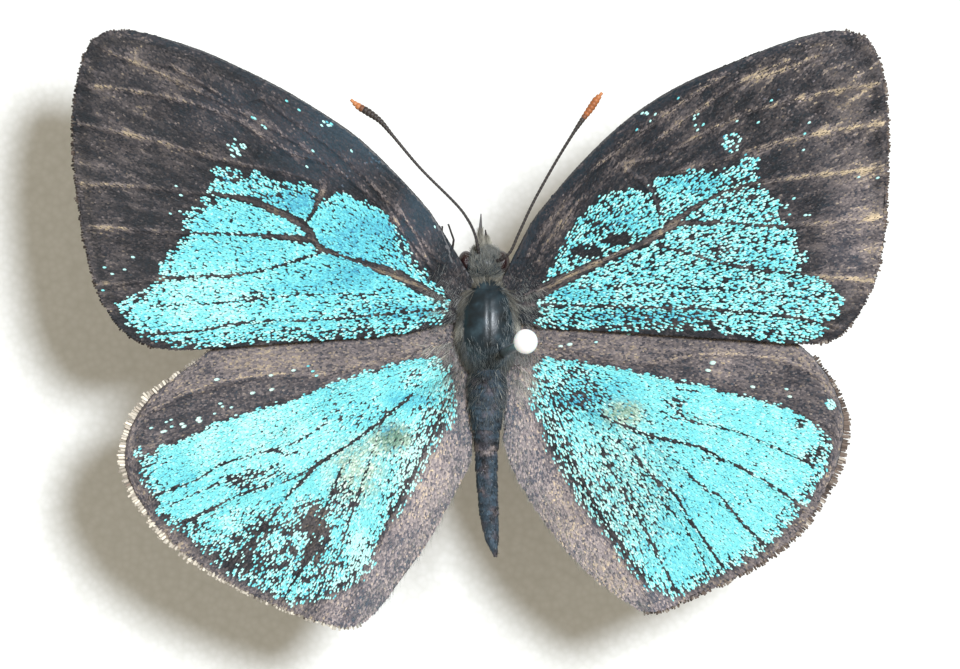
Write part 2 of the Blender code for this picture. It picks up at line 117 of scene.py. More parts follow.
def add(tree, kind, links=None, stops=(), **settings):
    """Adds a node. Settings are its own choices, links its inputs: another node's socket, or a value.
    Stops are the places and hex colours of a colour ramp."""
    made = tree.nodes.new(kind)
    for name, value in settings.items():
        setattr(made, name, value)
    for key, value in (links or {}).items():
        if isinstance(value, bpy.types.NodeSocket):
            tree.links.new(value, made.inputs[key])
        else:
            made.inputs[key].default_value = value
    while stops and len(made.color_ramp.elements) < len(stops):
        made.color_ramp.elements.new(0.5)
    for element, (place, code) in zip(made.color_ramp.elements if stops else (), stops):
        element.position = place
        element.color = colour(code)
    return made


def new_finish(name, roughness, **sockets):
    """A material with one Principled shader, its even values set on the shader's own sockets."""
    made = bpy.data.materials.new(name)
    made.use_nodes = True
    shader = made.node_tree.nodes["Principled BSDF"]
    shader.inputs["Roughness"].default_value = roughness
    for socket, value in sockets.items():
        shader.inputs[socket.replace("_", " ")].default_value = value
    return made, made.node_tree, shader


print("mid grey is", round(colour("#808080")[0], 3), "in linear light")

# %% [markdown]
# ## Light
# The light is a soft, bright desk: one broad lamp up to the right, whose shadows fall to the lower left of
# the wings, and a pale surround that fills them. The lamp is about a fifth as wide as it is far off, so a
# shadow's edge is blurred by a fifth of the wings' height above the foam.

# %% Lamp and surround
SHADOW_SHIFT = Vector((4.0, 2.9, 14.5))  # towards the lamp, from how far a shadow falls below the wings
LAMP_DISTANCE = 0.5
LAMP_SIZE = 0.1
LAMP_POWER = 3.1
SURROUND = 0.445

lamp_data = bpy.data.lights.new("lamp", "AREA")
lamp_data.shape = "DISK"
lamp_data.size = LAMP_SIZE
lamp_data.energy = LAMP_POWER
lamp_data.color = colour("#F0F7FF")[:3]
lamp = put("lamp", lamp_data)
lamp.location = Vector((0, 0, WING_PLANE)) + SHADOW_SHIFT.normalized() * LAMP_DISTANCE
lamp.rotation_euler = SHADOW_SHIFT.to_track_quat("Z", "Y").to_euler()

world = bpy.data.worlds.new("surround")
world.use_nodes = True
world.node_tree.nodes["Background"].inputs["Color"].default_value = colour("#FFF7E3")
world.node_tree.nodes["Background"].inputs["Strength"].default_value = SURROUND
bpy.context.scene.world = world
bpy.context.scene.view_settings.view_transform = "Standard"
print("lamp at", [round(c, 2) for c in lamp.location], "metres")

# %% [markdown]
# ## Floor
# The block stands on a plain pale table. From above the block fills the picture, so the table shows only
# from the side.

# %% Floor
FLOOR_HALF = 0.6
corners = [(x * FLOOR_HALF, y * FLOOR_HALF, 0) for x, y in ((-1, -1), (1, -1), (1, 1), (-1, 1))]
floor = put_mesh("floor", corners, [(0, 1, 2, 3)])
floor_finish, _, floor_shader = new_finish("matt painted table", 0.8)
floor_shader.inputs["Base Color"].default_value = colour("#E9E7E2")
floor.data.materials.append(floor_finish)
print("table", 2 * FLOOR_HALF, "m wide")

# %% [markdown]
# ## Two families of finish
# Nearly every bare surface here is one of two things. Wire, nylon and horn have a colour that wanders in
# soft clouds. Foam, chitin and an insect's eye are covered in tiny pits or domes, which also dent them. Both
# patterns are noise set by a real size in millimetres, so two functions make all of these materials.

# %% Clouded and pitted finishes
def clouded(name, roughness, size, *stops, detail=2.0, stretch=(1, 1, 1), **sockets):
    """A colour that wanders through the stops in soft clouds of the given size."""
    made, tree, shader = new_finish(name, roughness, **sockets)
    place = add(tree, "ShaderNodeTexCoord").outputs["Object"]
    place = add(tree, "ShaderNodeMapping", {"Vector": place, "Scale": stretch}).outputs["Vector"]
    cloud = add(tree, "ShaderNodeTexNoise", {"Vector": place, "Scale": 1 / (size * MM), "Detail": detail})
    hue = add(tree, "ShaderNodeValToRGB", {"Fac": cloud.outputs["Fac"]}, stops=stops).outputs["Color"]
    tree.links.new(hue, shader.inputs["Base Color"])
    return made


def pitted(name, roughness, pit, depth, strength, *stops, cloud=None, both=False, stray=1.0, domed=False,
           **sockets):
    """Pits of the given size and depth. The colour follows them, or a cloud of its own size, or both."""
    made, tree, shader = new_finish(name, roughness, **sockets)
    place = add(tree, "ShaderNodeTexCoord").outputs["Object"]
    cells = add(tree, "ShaderNodeTexVoronoi", {"Vector": place, "Scale": 1 / (pit * MM), "Randomness": stray})
    factor = dent = cells.outputs["Distance"]
    if cloud:
        soft = add(tree, "ShaderNodeTexNoise", {"Vector": place, "Scale": 1 / (cloud * MM), "Detail": 4.0})
        factor = soft.outputs["Fac"]
    if both:
        factor = add(tree, "ShaderNodeMath", {0: dent, 1: factor}, operation="ADD").outputs[0]
    hue = add(tree, "ShaderNodeValToRGB", {"Fac": factor}, stops=stops).outputs["Color"]
    tree.links.new(hue, shader.inputs["Base Color"])
    bump = add(tree, "ShaderNodeBump", {"Height": dent, "Distance": depth * MM, "Strength": strength},
               invert=domed)
    tree.links.new(bump.outputs["Normal"], shader.inputs["Normal"])
    return made


print("two makers of finishes:", clouded.__name__, "and", pitted.__name__)

# %% [markdown]
# ## Foam, steel and nylon
# Pinning foam is cross-linked polyethylene: closed cells a few tenths of a millimetre wide, cut with a hot
# wire, so the skin is matt with faint dimples. The pin is drawn steel wire, its lines about 0.05 mm apart and
# fifty times as long. The ball is moulded nylon, white and slightly see-through at its edge.

# %% Foam, steel and nylon
FOAM = pitted("cross-linked polyethylene foam", 0.85, 0.35, 0.02, 0.5, (0.0, "#F8F7F4"), (1.0, "#ECEBE6"),
              Specular_IOR_Level=0.3)
STEEL = clouded("drawn steel wire", 0.28, 0.05, (0.3, "#8F9398"), (0.7, "#C4C7CB"), stretch=(1, 1, 0.02),
                Metallic=1.0)
NYLON = clouded("moulded white nylon", 0.3, 0.6, (0.3, "#FBFBFA"), (0.8, "#F1F1EF"), Subsurface_Weight=0.3,
                Subsurface_Scale=0.3 * MM)
nodes["foam_block"].material_slots[0].material = FOAM
nodes["pin_shaft"].material_slots[0].material = STEEL
print("made", FOAM.name, STEEL.name, NYLON.name, sep=", ")

# %% [markdown]
# ## One tree for everything that grows
# Scales, fringe, hair and the rings of a feeler are all the same idea: a small leaf shape set on many seed
# points, turned to each seed's own heading. So one Geometry Nodes tree serves them all. Each seed carries its
# heading, its up direction, how long and how wide its leaf is, and two colour values, tone and warmth. The
# tree turns the leaf, lifts its free end a little, adds chance with a fixed seed, and makes real mesh of it.

# %% The growing tree
def build_growing_tree():
    tree = bpy.data.node_groups.new("growing", "GeometryNodeTree")
    for name, kind in (
        ("Seeds", "Geometry"), ("Leaf", "Object"), ("Length", "Float"), ("Width", "Float"), ("Lift", "Float"),
        ("Lift spread", "Float"), ("Turn spread", "Float"), ("Size spread", "Float"), ("Seed", "Int"),
        ("Finish", "Material"),
    ):
        tree.interface.new_socket(name, in_out="INPUT", socket_type="NodeSocket" + kind)
    tree.interface.new_socket("Mesh", in_out="OUTPUT", socket_type="NodeSocketGeometry")
    given = add(tree, "NodeGroupInput").outputs

    own = {}  # what each seed carries
    for name in ("up", "heading", "girth", "reach"):
        kind = "FLOAT_VECTOR" if name in ("up", "heading") else "FLOAT"
        own[name] = add(tree, "GeometryNodeInputNamedAttribute", {"Name": name}, data_type=kind).outputs[0]

    luck = []  # one even chance for the lift, two for the turn, one for the size
    for offset, spread in enumerate(("Lift spread", "Turn spread", "Turn spread", "Size spread"), 1):
        seed = add(tree, "ShaderNodeMath", {0: given["Seed"], 1: offset}, operation="ADD").outputs[0]
        low = add(tree, "ShaderNodeMath", {0: given[spread], 1: -1.0}, operation="MULTIPLY").outputs[0]
        random = add(tree, "FunctionNodeRandomValue", {2: low, 3: given[spread], 8: seed}, data_type="FLOAT")
        luck.append(random.outputs[1])

    facing = add(tree, "FunctionNodeAxesToRotation", {0: own["up"], 1: own["heading"]}, primary_axis="Z",
                 secondary_axis="Y").outputs[0]
    lift = add(tree, "ShaderNodeMath", {0: given["Lift"], 1: luck[0]}, operation="ADD").outputs[0]
    turn = add(tree, "ShaderNodeCombineXYZ", {0: lift, 1: luck[1], 2: luck[2]}).outputs[0]
    turn = add(tree, "FunctionNodeEulerToRotation", {0: turn}).outputs[0]
    lifted = add(tree, "FunctionNodeRotateRotation", {0: facing, 1: turn}, rotation_space="LOCAL").outputs[0]

    bigger = add(tree, "ShaderNodeMath", {0: 1.0, 1: luck[3]}, operation="ADD").outputs[0]
    sizes = []
    for size, share in (("Width", "girth"), ("Length", "reach")):
        plain = add(tree, "ShaderNodeMath", {0: given[size], 1: own[share]}, operation="MULTIPLY").outputs[0]
        sizes.append(add(tree, "ShaderNodeMath", {0: plain, 1: bigger}, operation="MULTIPLY").outputs[0])
    size = add(tree, "ShaderNodeCombineXYZ", {0: sizes[0], 1: sizes[1], 2: sizes[0]}).outputs[0]

    leaf = add(tree, "GeometryNodeObjectInfo", {"Object": given["Leaf"]}).outputs["Geometry"]
    grown = add(tree, "GeometryNodeInstanceOnPoints",
                {"Points": given["Seeds"], "Instance": leaf, "Rotation": lifted, "Scale": size}).outputs[0]
    real = add(tree, "GeometryNodeRealizeInstances", {0: grown}).outputs[0]
    smooth = add(tree, "GeometryNodeSetShadeSmooth", {0: real}).outputs[0]
    done = add(tree, "GeometryNodeSetMaterial", {"Geometry": smooth, "Material": given["Finish"]}).outputs[0]
    add(tree, "NodeGroupOutput", {0: done})
    return tree


GROWING = build_growing_tree()
print("growing tree with", len(GROWING.nodes), "nodes")

# %% [markdown]
# ## The leaves
# A wing scale is a tiny paddle: a narrow foot, a broad blade and a rounded free end, its sides bent down a
# little. A fringe scale is the same paddle drawn out long. A hair is a thin three-sided spike.
# Each keeps its own two coordinates, across and along, so that a finish can darken a foot or an edge. Every
# round or flat net of points in this notebook gets its faces from one function, `net`, and every round one
# its places from another, `ring`.

# %% Leaf shapes
def net(rows, columns, closed=True, first=0, flip=False):
    """Faces between rows of points, each row closed to a ring or left open."""
    faces = []
    for i in range(rows - 1):
        for j in range(columns if closed else columns - 1):
            a, b = first + i * columns + j, first + i * columns + (j + 1) % columns
            faces.append((b, a, a + columns, b + columns) if flip else (a, b, b + columns, a + columns))
    return faces


def ring(count):
    """Places round a circle of radius one."""
    turns = [2 * math.pi * k / count for k in range(count)]
    return [(math.cos(turn), math.sin(turn)) for turn in turns]


def leaf_object(name, points, faces, across_along):
    leaf = put_mesh(name, points, faces)
    layer = leaf.data.attributes.new("leaf", "FLOAT_VECTOR", "POINT")
    layer.data.foreach_set("vector", [value for s, t in across_along for value in (s, t, 0.0)])
    return leaf


def paddle(name, rows, foot, shoulder, tip, curl, rounding):
    """A blade one long and one wide: its widths at foot, shoulder and tip, its bend and its round end."""
    marks = [(s, i / rows) for i in range(rows + 1) for s in (-1, 0, 1)]
    widths = [np.interp(t, (0, 0.6, 1), (foot, shoulder, tip)) for _, t in marks]
    spots = [(0.5 * s * wide, t - rounding * s * s * t, -curl * s * s) for (s, t), wide in zip(marks, widths)]
    return leaf_object(name, spots, net(rows + 1, 3, closed=False), marks)


def spike(name, rings, sides=3):
    """A hair one long and one thick at its root, running to a point."""
    spots, marks = [], []
    for i in range(rings):
        reach = 0.5 * (1 - 0.8 * i / rings)
        spots += [(reach * x, i / rings, reach * z) for x, z in ring(sides)]
        marks += [(k - 1, i / rings) for k in range(sides)]
    last = sides * (rings - 1)
    faces = net(rings, sides, flip=True)
    faces += [(last + (k + 1) % sides, last + k, len(spots)) for k in range(sides)]
    return leaf_object(name, spots + [(0, 1, 0)], faces, marks + [(0, 1)])


SCALE_LEAF = paddle("scale leaf", 2, 0.45, 1.0, 0.75, 0.12, 0.16)
GROUND_LEAF = paddle("ground leaf", 1, 0.8, 1.0, 0.8, 0.1, 0.15)
FRINGE_LEAF = paddle("fringe leaf", 2, 0.5, 1.0, 0.8, 0.1, 0.05)
HAIR_LEAF = spike("hair leaf", 3)
LEAVES = [SCALE_LEAF, GROUND_LEAF, FRINGE_LEAF, HAIR_LEAF]
print("leaves with", [len(leaf.data.polygons) for leaf in LEAVES], "faces")

# %% [markdown]
# ## Seeds and headings
# A leaf needs a heading of length one and an up direction square to it. `seeds_at` gathers what the tree
# wants to know of each seed, and lets a single number stand for all of them.

# %% Seeds
def unit(vectors):
    return vectors / np.maximum(np.linalg.norm(vectors, axis=1, keepdims=True), 1e-12)


def upright(heading, up):
    """The up directions made square to the headings."""
    return unit(up - np.sum(up * heading, axis=1, keepdims=True) * heading)


def seeds_at(places, heading, up, tone, warm, reach=1.0, girth=1.0):
    each = np.ones(len(places))
    return {"spots": places * MM, "heading": heading, "up": up, "reach": reach * each, "girth": girth * each,
            "tone": np.clip(tone * each, 0, 1), "warm": np.clip(warm * each, 0, 1)}


print("a heading of (3, 4) becomes", unit(np.array([[3.0, 4.0]]))[0])

# %% [markdown]
# ## Growing a piece
# `grow` stores the seeds as a mesh of bare points with named values, runs the tree on it, and keeps the
# result as a plain mesh. Each leaf also gets a small cell of its own in a texture layout called OFBake, so
# that the finish can be drawn to an image later without two leaves sharing a spot.

# %% Growing
CELL_MARGIN = 0.12  # the share of its cell that a leaf leaves free at each side


def grow(name, leaf, seeds, finish, seed, size, lift=(0.0, 0.0), turn=0.12, uneven=0.12):
    """Grows a leaf on each seed: its length and width in millimetres, its lift and how that spreads."""
    piece = put_mesh(name, seeds["spots"].tolist(), [])
    count = len(piece.data.vertices)
    for key in ("heading", "up", "reach", "girth", "tone", "warm"):
        values = np.asarray(seeds[key], float)
        kind, field = ("FLOAT_VECTOR", "vector") if values.ndim == 2 else ("FLOAT", "value")
        piece.data.attributes.new(key, kind, "POINT").data.foreach_set(field, values.ravel())
    modifier = piece.modifiers.new("growing", "NODES")
    modifier.node_group = GROWING
    wanted = {"Leaf": leaf, "Finish": finish, "Length": size[0] * MM, "Width": size[1] * MM, "Lift": lift[0],
              "Lift spread": lift[1], "Turn spread": turn, "Size spread": uneven, "Seed": seed}
    for socket in GROWING.interface.items_tree:
        if socket.in_out == "INPUT" and socket.name in wanted:
            modifier[socket.identifier] = wanted[socket.name]
    graph = bpy.context.evaluated_depsgraph_get()
    piece.data = bpy.data.meshes.new_from_object(piece.evaluated_get(graph))
    piece.modifiers.remove(modifier)
    piece.data.name = name
    lay_out_cells(piece.data, count)
    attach(piece, BODY)
    piece.data.calc_loop_triangles()
    print(name, count, "leaves,", len(piece.data.loop_triangles), "triangles")
    return piece


def lay_out_cells(mesh, count):
    """Puts the faces of every leaf in a cell of its own on a square grid."""
    corners = len(mesh.loops)
    vertex_of = np.empty(corners, np.int32)
    mesh.loops.foreach_get("vertex_index", vertex_of)
    marks = np.empty(len(mesh.vertices) * 3, np.float32)
    mesh.attributes["leaf"].data.foreach_get("vector", marks)
    marks = marks.reshape(-1, 3)[vertex_of]
    side = math.ceil(math.sqrt(count))
    cell = np.arange(corners) // (corners // count)
    u = (cell % side + CELL_MARGIN + (1 - 2 * CELL_MARGIN) * (marks[:, 0] + 1) / 2) / side
    v = (cell // side + CELL_MARGIN + (1 - 2 * CELL_MARGIN) * marks[:, 1]) / side
    layer = mesh.uv_layers.new(name="OFBake")
    layer.data.foreach_set("uv", np.stack([u, v], axis=1).astype(np.float32).ravel())


print("ready to grow", len(LEAVES), "kinds of leaf")

# %% [markdown]
# ## The wings' edges
# These are the lists the solid wings were drawn from. They are needed again here, as the fringe, the front
# edge's scales and the hair of the inner edge follow them.

# %% Wing edges
OUTLINE = {}
OUTLINE["forewing_left"] = (
    (0.1, 2), (-0.9, 2.6), (-1.35, 3.6), (-1.75, 4.85), (-2.5, 6.15), (-4, 7.85), (-6, 9.8), (-8, 11.2),
    (-10, 12.4), (-12, 13.4), (-14, 14.3), (-16, 14.95), (-17.5, 15.3), (-18.8, 15.2), (-19.55, 14.7),
    (-20.1, 13.2), (-20.4, 11.2), (-20.4, 9.2), (-20.15, 6.7), (-19.8, 4.5), (-19.3, 2.4), (-18.4, 0.75),
    (-17.4, -0.2), (-16.3, -0.65), (-14.3, -0.75), (-12, -0.4), (-9, -0.2), (-6, -0.15), (-4, 0.05),
    (-2, 0.5), (-0.9, 0.85), (0.1, 1.1),
)
OUTLINE["forewing_right"] = (
    (0.7, 2), (1.5, 2.7), (1.8, 3.8), (2.5, 5.5), (3.5, 6.8), (5, 8.55), (7, 10.5), (9, 11.95), (11, 13),
    (13, 13.8), (15, 14.6), (17, 15.2), (18.4, 15.3), (19.4, 14.95), (20, 13.9), (20.35, 12), (20.45, 9.2),
    (20.35, 6.7), (20.2, 4.5), (19.75, 2.6), (18.9, 0.95), (17.8, -0.2), (16.6, -0.45), (15.3, -0.4),
    (13.5, -0.15), (11, 0.2), (8, 0.3), (5, 0.3), (3, 0.4), (1.9, 0.8), (0.7, 1.1),
)
OUTLINE["hindwing_left"] = (
    (0.1, 0.9), (-1.5, 1.1), (-3, 1.4), (-6, 1.5), (-9, 1.3), (-11.5, 0.6), (-13.2, -0.5), (-15, -1.95),
    (-16.6, -3.1), (-17.6, -4.6), (-17.95, -6), (-17.75, -7.3), (-16.9, -8.8), (-15.6, -10.35),
    (-14, -11.6), (-12, -12.8), (-9.8, -13.8), (-8, -14.45), (-6.8, -14.75), (-5.85, -14.5), (-4.75, -13.4),
    (-3.9, -12.1), (-3, -11), (-2.2, -9.7), (-1.1, -7.6), (-0.5, -6.4), (-0.4, -5.4), (-0.4, -3.6),
    (0.1, -1.6),
)
OUTLINE["hindwing_right"] = (
    (0.7, 0.9), (2.4, 1.2), (4, 1.5), (6.5, 1.8), (9.5, 1.9), (12.5, 1.3), (15, 0.2), (16.8, -1.1),
    (17.9, -2.7), (18.4, -4.2), (18.35, -5.3), (18, -6.7), (17.3, -8.1), (16.2, -9.7), (14.8, -11),
    (13, -12.1), (10.8, -13.15), (9.1, -13.9), (8.2, -13.95), (7.4, -13.45), (5.7, -12.25), (4, -10.4),
    (2.5, -8.3), (1.55, -6.5), (1.2, -5.3), (1.3, -3.8), (0.7, -1.6),
)
print("edges with", [len(edge) for edge in OUTLINE.values()], "points")

# %% [markdown]
# ## The veins
# The ground scales are drawn paler along the raised veins. So the lists that the
# solids' veins were drawn from are used once more.

# %% Veins
VEINS = {}
VEINS["forewing_left"] = (
    ((-2, 3.6), (-3.3, 5.3), (-4.6, 6.7), (-6.6, 8.7), (-9, 10.5), (-11, 11.9)),
    ((-2.3, 3.2), (-3.9, 5.3), (-5.4, 6.9), (-7.6, 8.6), (-10.6, 10.5), (-13.6, 12.4), (-15.6, 13.6)),
    ((-7.6, 8.6), (-9.5, 9.1), (-12.2, 10.8), (-14, 11.5), (-16, 12), (-19.2, 12.5)),
    ((-10.6, 10.5), (-13.4, 11.9), (-16, 13.1), (-18.6, 14.2)),
    ((-7.9, 7.6), (-10, 8.2), (-13, 8.8), (-16.5, 9.8), (-20.1, 10.6)),
    ((-7.6, 8.6), (-7.9, 7), (-8.7, 5.6), (-8, 4.2)),
    ((-8.7, 5.6), (-11.2, 6.6), (-13.8, 7.1), (-16.5, 7.4), (-20, 7.6)),
    ((-8.4, 4.8), (-11.8, 5), (-14.5, 5.1), (-17, 5.3), (-19.6, 5.4)),
    ((-8, 4.2), (-9.5, 3.6), (-12, 3), (-16, 2.8), (-19.2, 2.5)),
    ((-1.4, 1.7), (-4, 3), (-6.8, 3.8), (-8, 4.2)),
    ((-1.4, 1.35), (-4, 1.1), (-7, 0.8), (-12, 0.6), (-15, 0.15), (-17, 0.1)),
)
VEINS["forewing_right"] = (
    ((2.4, 3.9), (4, 6.4), (6, 8.6), (8.6, 10.5), (10.6, 12), (12.4, 13.2)),
    ((2.9, 3.6), (4.8, 6.4), (7, 8.5), (9.2, 10), (11, 11.3), (13, 12.7), (15.5, 13.8)),
    ((13, 12.7), (15, 13.2), (17.2, 14.1)),
    ((7, 8.5), (9, 8.9), (11.4, 10.2), (13.5, 11.2), (17, 12.1), (20, 12.6)),
    ((8.1, 7.7), (11.8, 8.7), (15, 9.7), (18, 10.3), (20.2, 10.6)),
    ((7, 8.5), (8.3, 7.6), (9, 6.2), (9, 5.1)),
    ((9, 5.1), (10.5, 6.2), (12, 7.1), (13.8, 7.6), (17.5, 8.1), (20.2, 8.3)),
    ((9, 5.1), (10, 5.55), (12, 5.6), (15, 5.4), (20, 5.9)),
    ((8.2, 4.6), (10, 4.2), (12, 3.6), (14, 3.2), (19.7, 2.7)),
    ((2.2, 1.9), (5, 3.3), (7, 4.1), (9, 5.1)),
    ((2.2, 1.5), (7, 1.4), (11, 1.3), (15, 1), (18, 0.4)),
)
VEINS["hindwing_left"] = (
    ((-1.7, -0.4), (-4, -1), (-7.5, -2), (-11.5, -2.2), (-15, -3.1), (-16.9, -4)),
    ((-1.5, -1), (-4, -1.5), (-8, -2.7), (-11, -3.7), (-14.5, -5), (-17.4, -6.5)),
    ((-6.6, -2.4), (-9, -4.3), (-11.2, -5.7), (-13.2, -6.6), (-16.7, -8.3)),
    ((-1, -1.6), (-3.4, -3), (-5, -4.4), (-8, -6.4), (-11, -7.7), (-15.6, -9.8)),
    ((-7.8, -6.3), (-9.5, -7.9), (-11, -9.8), (-12.9, -11.9)),
    ((-5.4, -4.7), (-7, -7), (-8.2, -10), (-9.6, -13.3)),
    ((-0.9, -2.2), (-2.5, -5.3), (-4, -8.3), (-5.2, -10.8), (-6.6, -14)),
)
VEINS["hindwing_right"] = (
    ((2.5, -0.3), (5, -0.9), (8.5, -1.5), (11, -1), (15, -1.2), (17.2, -2.2)),
    ((2.4, -0.9), (6, -1.45), (9, -2.1), (12, -2.7), (16, -3.8), (18, -5)),
    ((9, -2.3), (10.5, -4), (13, -4.8), (17.6, -6.8)),
    ((2, -1.6), (3.4, -2.5), (6, -4), (8.5, -5.1), (11, -5.6), (13.2, -6.7), (16.4, -8.9)),
    ((8.5, -5.3), (11, -7.5), (12.6, -8.8), (14.4, -10.8)),
    ((6.6, -4.4), (8.8, -7.3), (10.5, -9.3), (12, -12)),
    ((1.9, -2.1), (3.2, -3.6), (4.9, -6.8), (6.2, -9.3), (8.5, -13.3)),
)
print("veins:", [len(lines) for lines in VEINS.values()])

# %% [markdown]
# ## The forewings' pattern
# The markings are written as a maker would chalk them on, seen from above. Blue is the limit of the blue
# scales, crisp the round spots that fill its upper edge, and dark and tan are lines with a half width at
# each point. The tan lines are partly the wing's own tan and partly a painted highlight: the first on each
# forewing is the shine along a bare fold. Thin, deep, green and shades are soft ovals: a centre, two half
# sizes and a strength, where shades has one for tone and one for warmth. Strays and pale give a circle and
# how many scales stand in it, or just the place of a single one.

# %% Forewing patterns
PATTERN = {}
PATTERN["forewing_left"] = {
    "pale veins": 0.35,
    # the lighter, cooler shades by the front edge are partly the wing's own slate, partly a painted blue-grey
    # sheen
    "shades": (
        (-3.2, 5.4, 1.6, 2.4, 0.36, -0.25), (-7.4, 9.6, 4.2, 2.8, 0.32, -0.25),
        (-12.4, 11.2, 3.4, 2, 0.14, -0.14),
    ),
    "ground": -0.06,
    "crisp": ((-4.3, 5.2, 0.5), (-5.9, 6.5, 0.6), (-7.4, 6.9, 0.4)),
    "fullness": 0.85,
    # painted highlight: the first tan line is the shine along a bare fold; the others are the veins' own tan
    "tan": (
        ((-6.2, 3.6, 0.04), (-4.8, 3.1, 0.09), (-3.5, 2.65, 0.08), (-2.6, 2.25, 0.04)),
        ((-4.15, 6.5, 0.03), (-3.25, 5.1, 0.05), (-2.5, 3.5, 0.03)),
        ((-4.75, 6.7, 0.03), (-3.9, 5.2, 0.04), (-2.75, 3.2, 0.03)),
    ),
    "brightness": 0.74,
    "root": (-0.6, 1.4),
    "blue": (
        (-13.3, 8.5), (-12, 8.1), (-10.2, 7.7), (-8.8, 7.5), (-8.1, 7.1), (-7.6, 6.8), (-7, 7), (-5.9, 6.6),
        (-4.8, 6), (-4.1, 5.1), (-3.2, 3.6), (-2, 2.2), (-1.6, 1.6), (-1.9, 0.7), (-4, 0.1), (-7, -0.1),
        (-12, -0.3), (-14, -0.6), (-15.8, -0.5), (-17.2, 0.2), (-17.8, 0.8), (-18.1, 1.5), (-17, 2.1),
        (-15.9, 2.7), (-16.1, 3.2), (-15.8, 3.6), (-14.8, 5), (-14.7, 6.1), (-13.8, 6.8), (-13.4, 7.2),
    ),
    "dark": (
        ((-13.9, 7.1, 0.06), (-12.2, 6.9, 0.16), (-11.2, 6.6, 0.18), (-9.8, 6, 0.2), (-8.8, 5.5, 0.22),
         (-8.4, 4.9, 0.2), (-8, 4.3, 0.16), (-6.8, 3.9, 0.06)),
        ((-6.8, 3.9, 0.05), (-5.5, 3.5, 0.16), (-4, 2.9, 0.29), (-2.9, 2.3, 0.26), (-1.9, 1.8, 0.16)),
        ((-8.6, 4.75, 0.2), (-9.5, 4.85, 0.18), (-11, 4.95, 0.06), (-13, 5.05, 0.05), (-15, 5.1, 0.06)),
        ((-7.9, 4.1, 0.05), (-9.5, 3.6, 0.07), (-10.9, 3.2, 0.06), (-12, 3, 0.05), (-16.2, 2.8, 0.07)),
        ((-1.8, 1.3, 0.04), (-4, 1.1, 0.04), (-7, 0.8, 0.04), (-10, 0.7, 0.04), (-12, 0.6, 0.05),
         (-14, 0.2, 0.06), (-16.5, 0, 0.07)),
        ((-7.85, 7.2, 0.18), (-8.2, 6.4, 0.14), (-8.6, 5.7, 0.07)),
        ((-5, 2, 0.02), (-9, 2, 0.03), (-13, 1.6, 0.03), (-16.5, 1.4, 0.04)),
    ),
    "thin": (
        (-11.15, 1.9, 1.1, 0.4, 0.6), (-9.8, 0.2, 0.6, 0.25, 0.6), (-12.4, 7.9, 1.2, 0.6, 0.55),
        (-13.6, 6.6, 0.8, 0.4, 0.6), (-6, 0.2, 1.4, 0.25, 0.5), (-5, 1.3, 4, 1, 0.35),
        (-10.5, 7, 2.2, 0.7, 0.35), (-4.4, 4.4, 1, 1.6, 0.3),
    ),
    "strays": (
        (-12.2, 9.35, 0.45, 20), (-11.35, 10.8, 0.1, 2), (-10.75, 10.5, 0.15, 3), (-9.75, 11.8), (-9, 11.2),
        (-7.7, 10.5, 0.3, 6), (-8.4, 9.2), (-6.4, 9.1), (-8.65, 8.3), (-2.2, 5.3), (-18, 3, 1.2, 5),
        (-15.5, 6.8, 0.8, 4),
    ),
    "pale": ((-5.4, 8.65, 0.45, 9), (-6.6, 8.1, 0.2, 2), (-6.9, 7.3, 0.2, 2)),
    "deep": (
        (-8, 2.4, 5, 0.5, 0.3), (-4, 1.1, 2.5, 0.5, 0.5), (-9.4, 6.7, 1.9, 0.9, 0.5),
        (-5.6, 4.8, 3.2, 2.2, 0.42), (-6, 3, 3, 0.5, 0.3), (-14, 1.8, 5, 2.2, -0.35),
    ),
    "green": (),
}
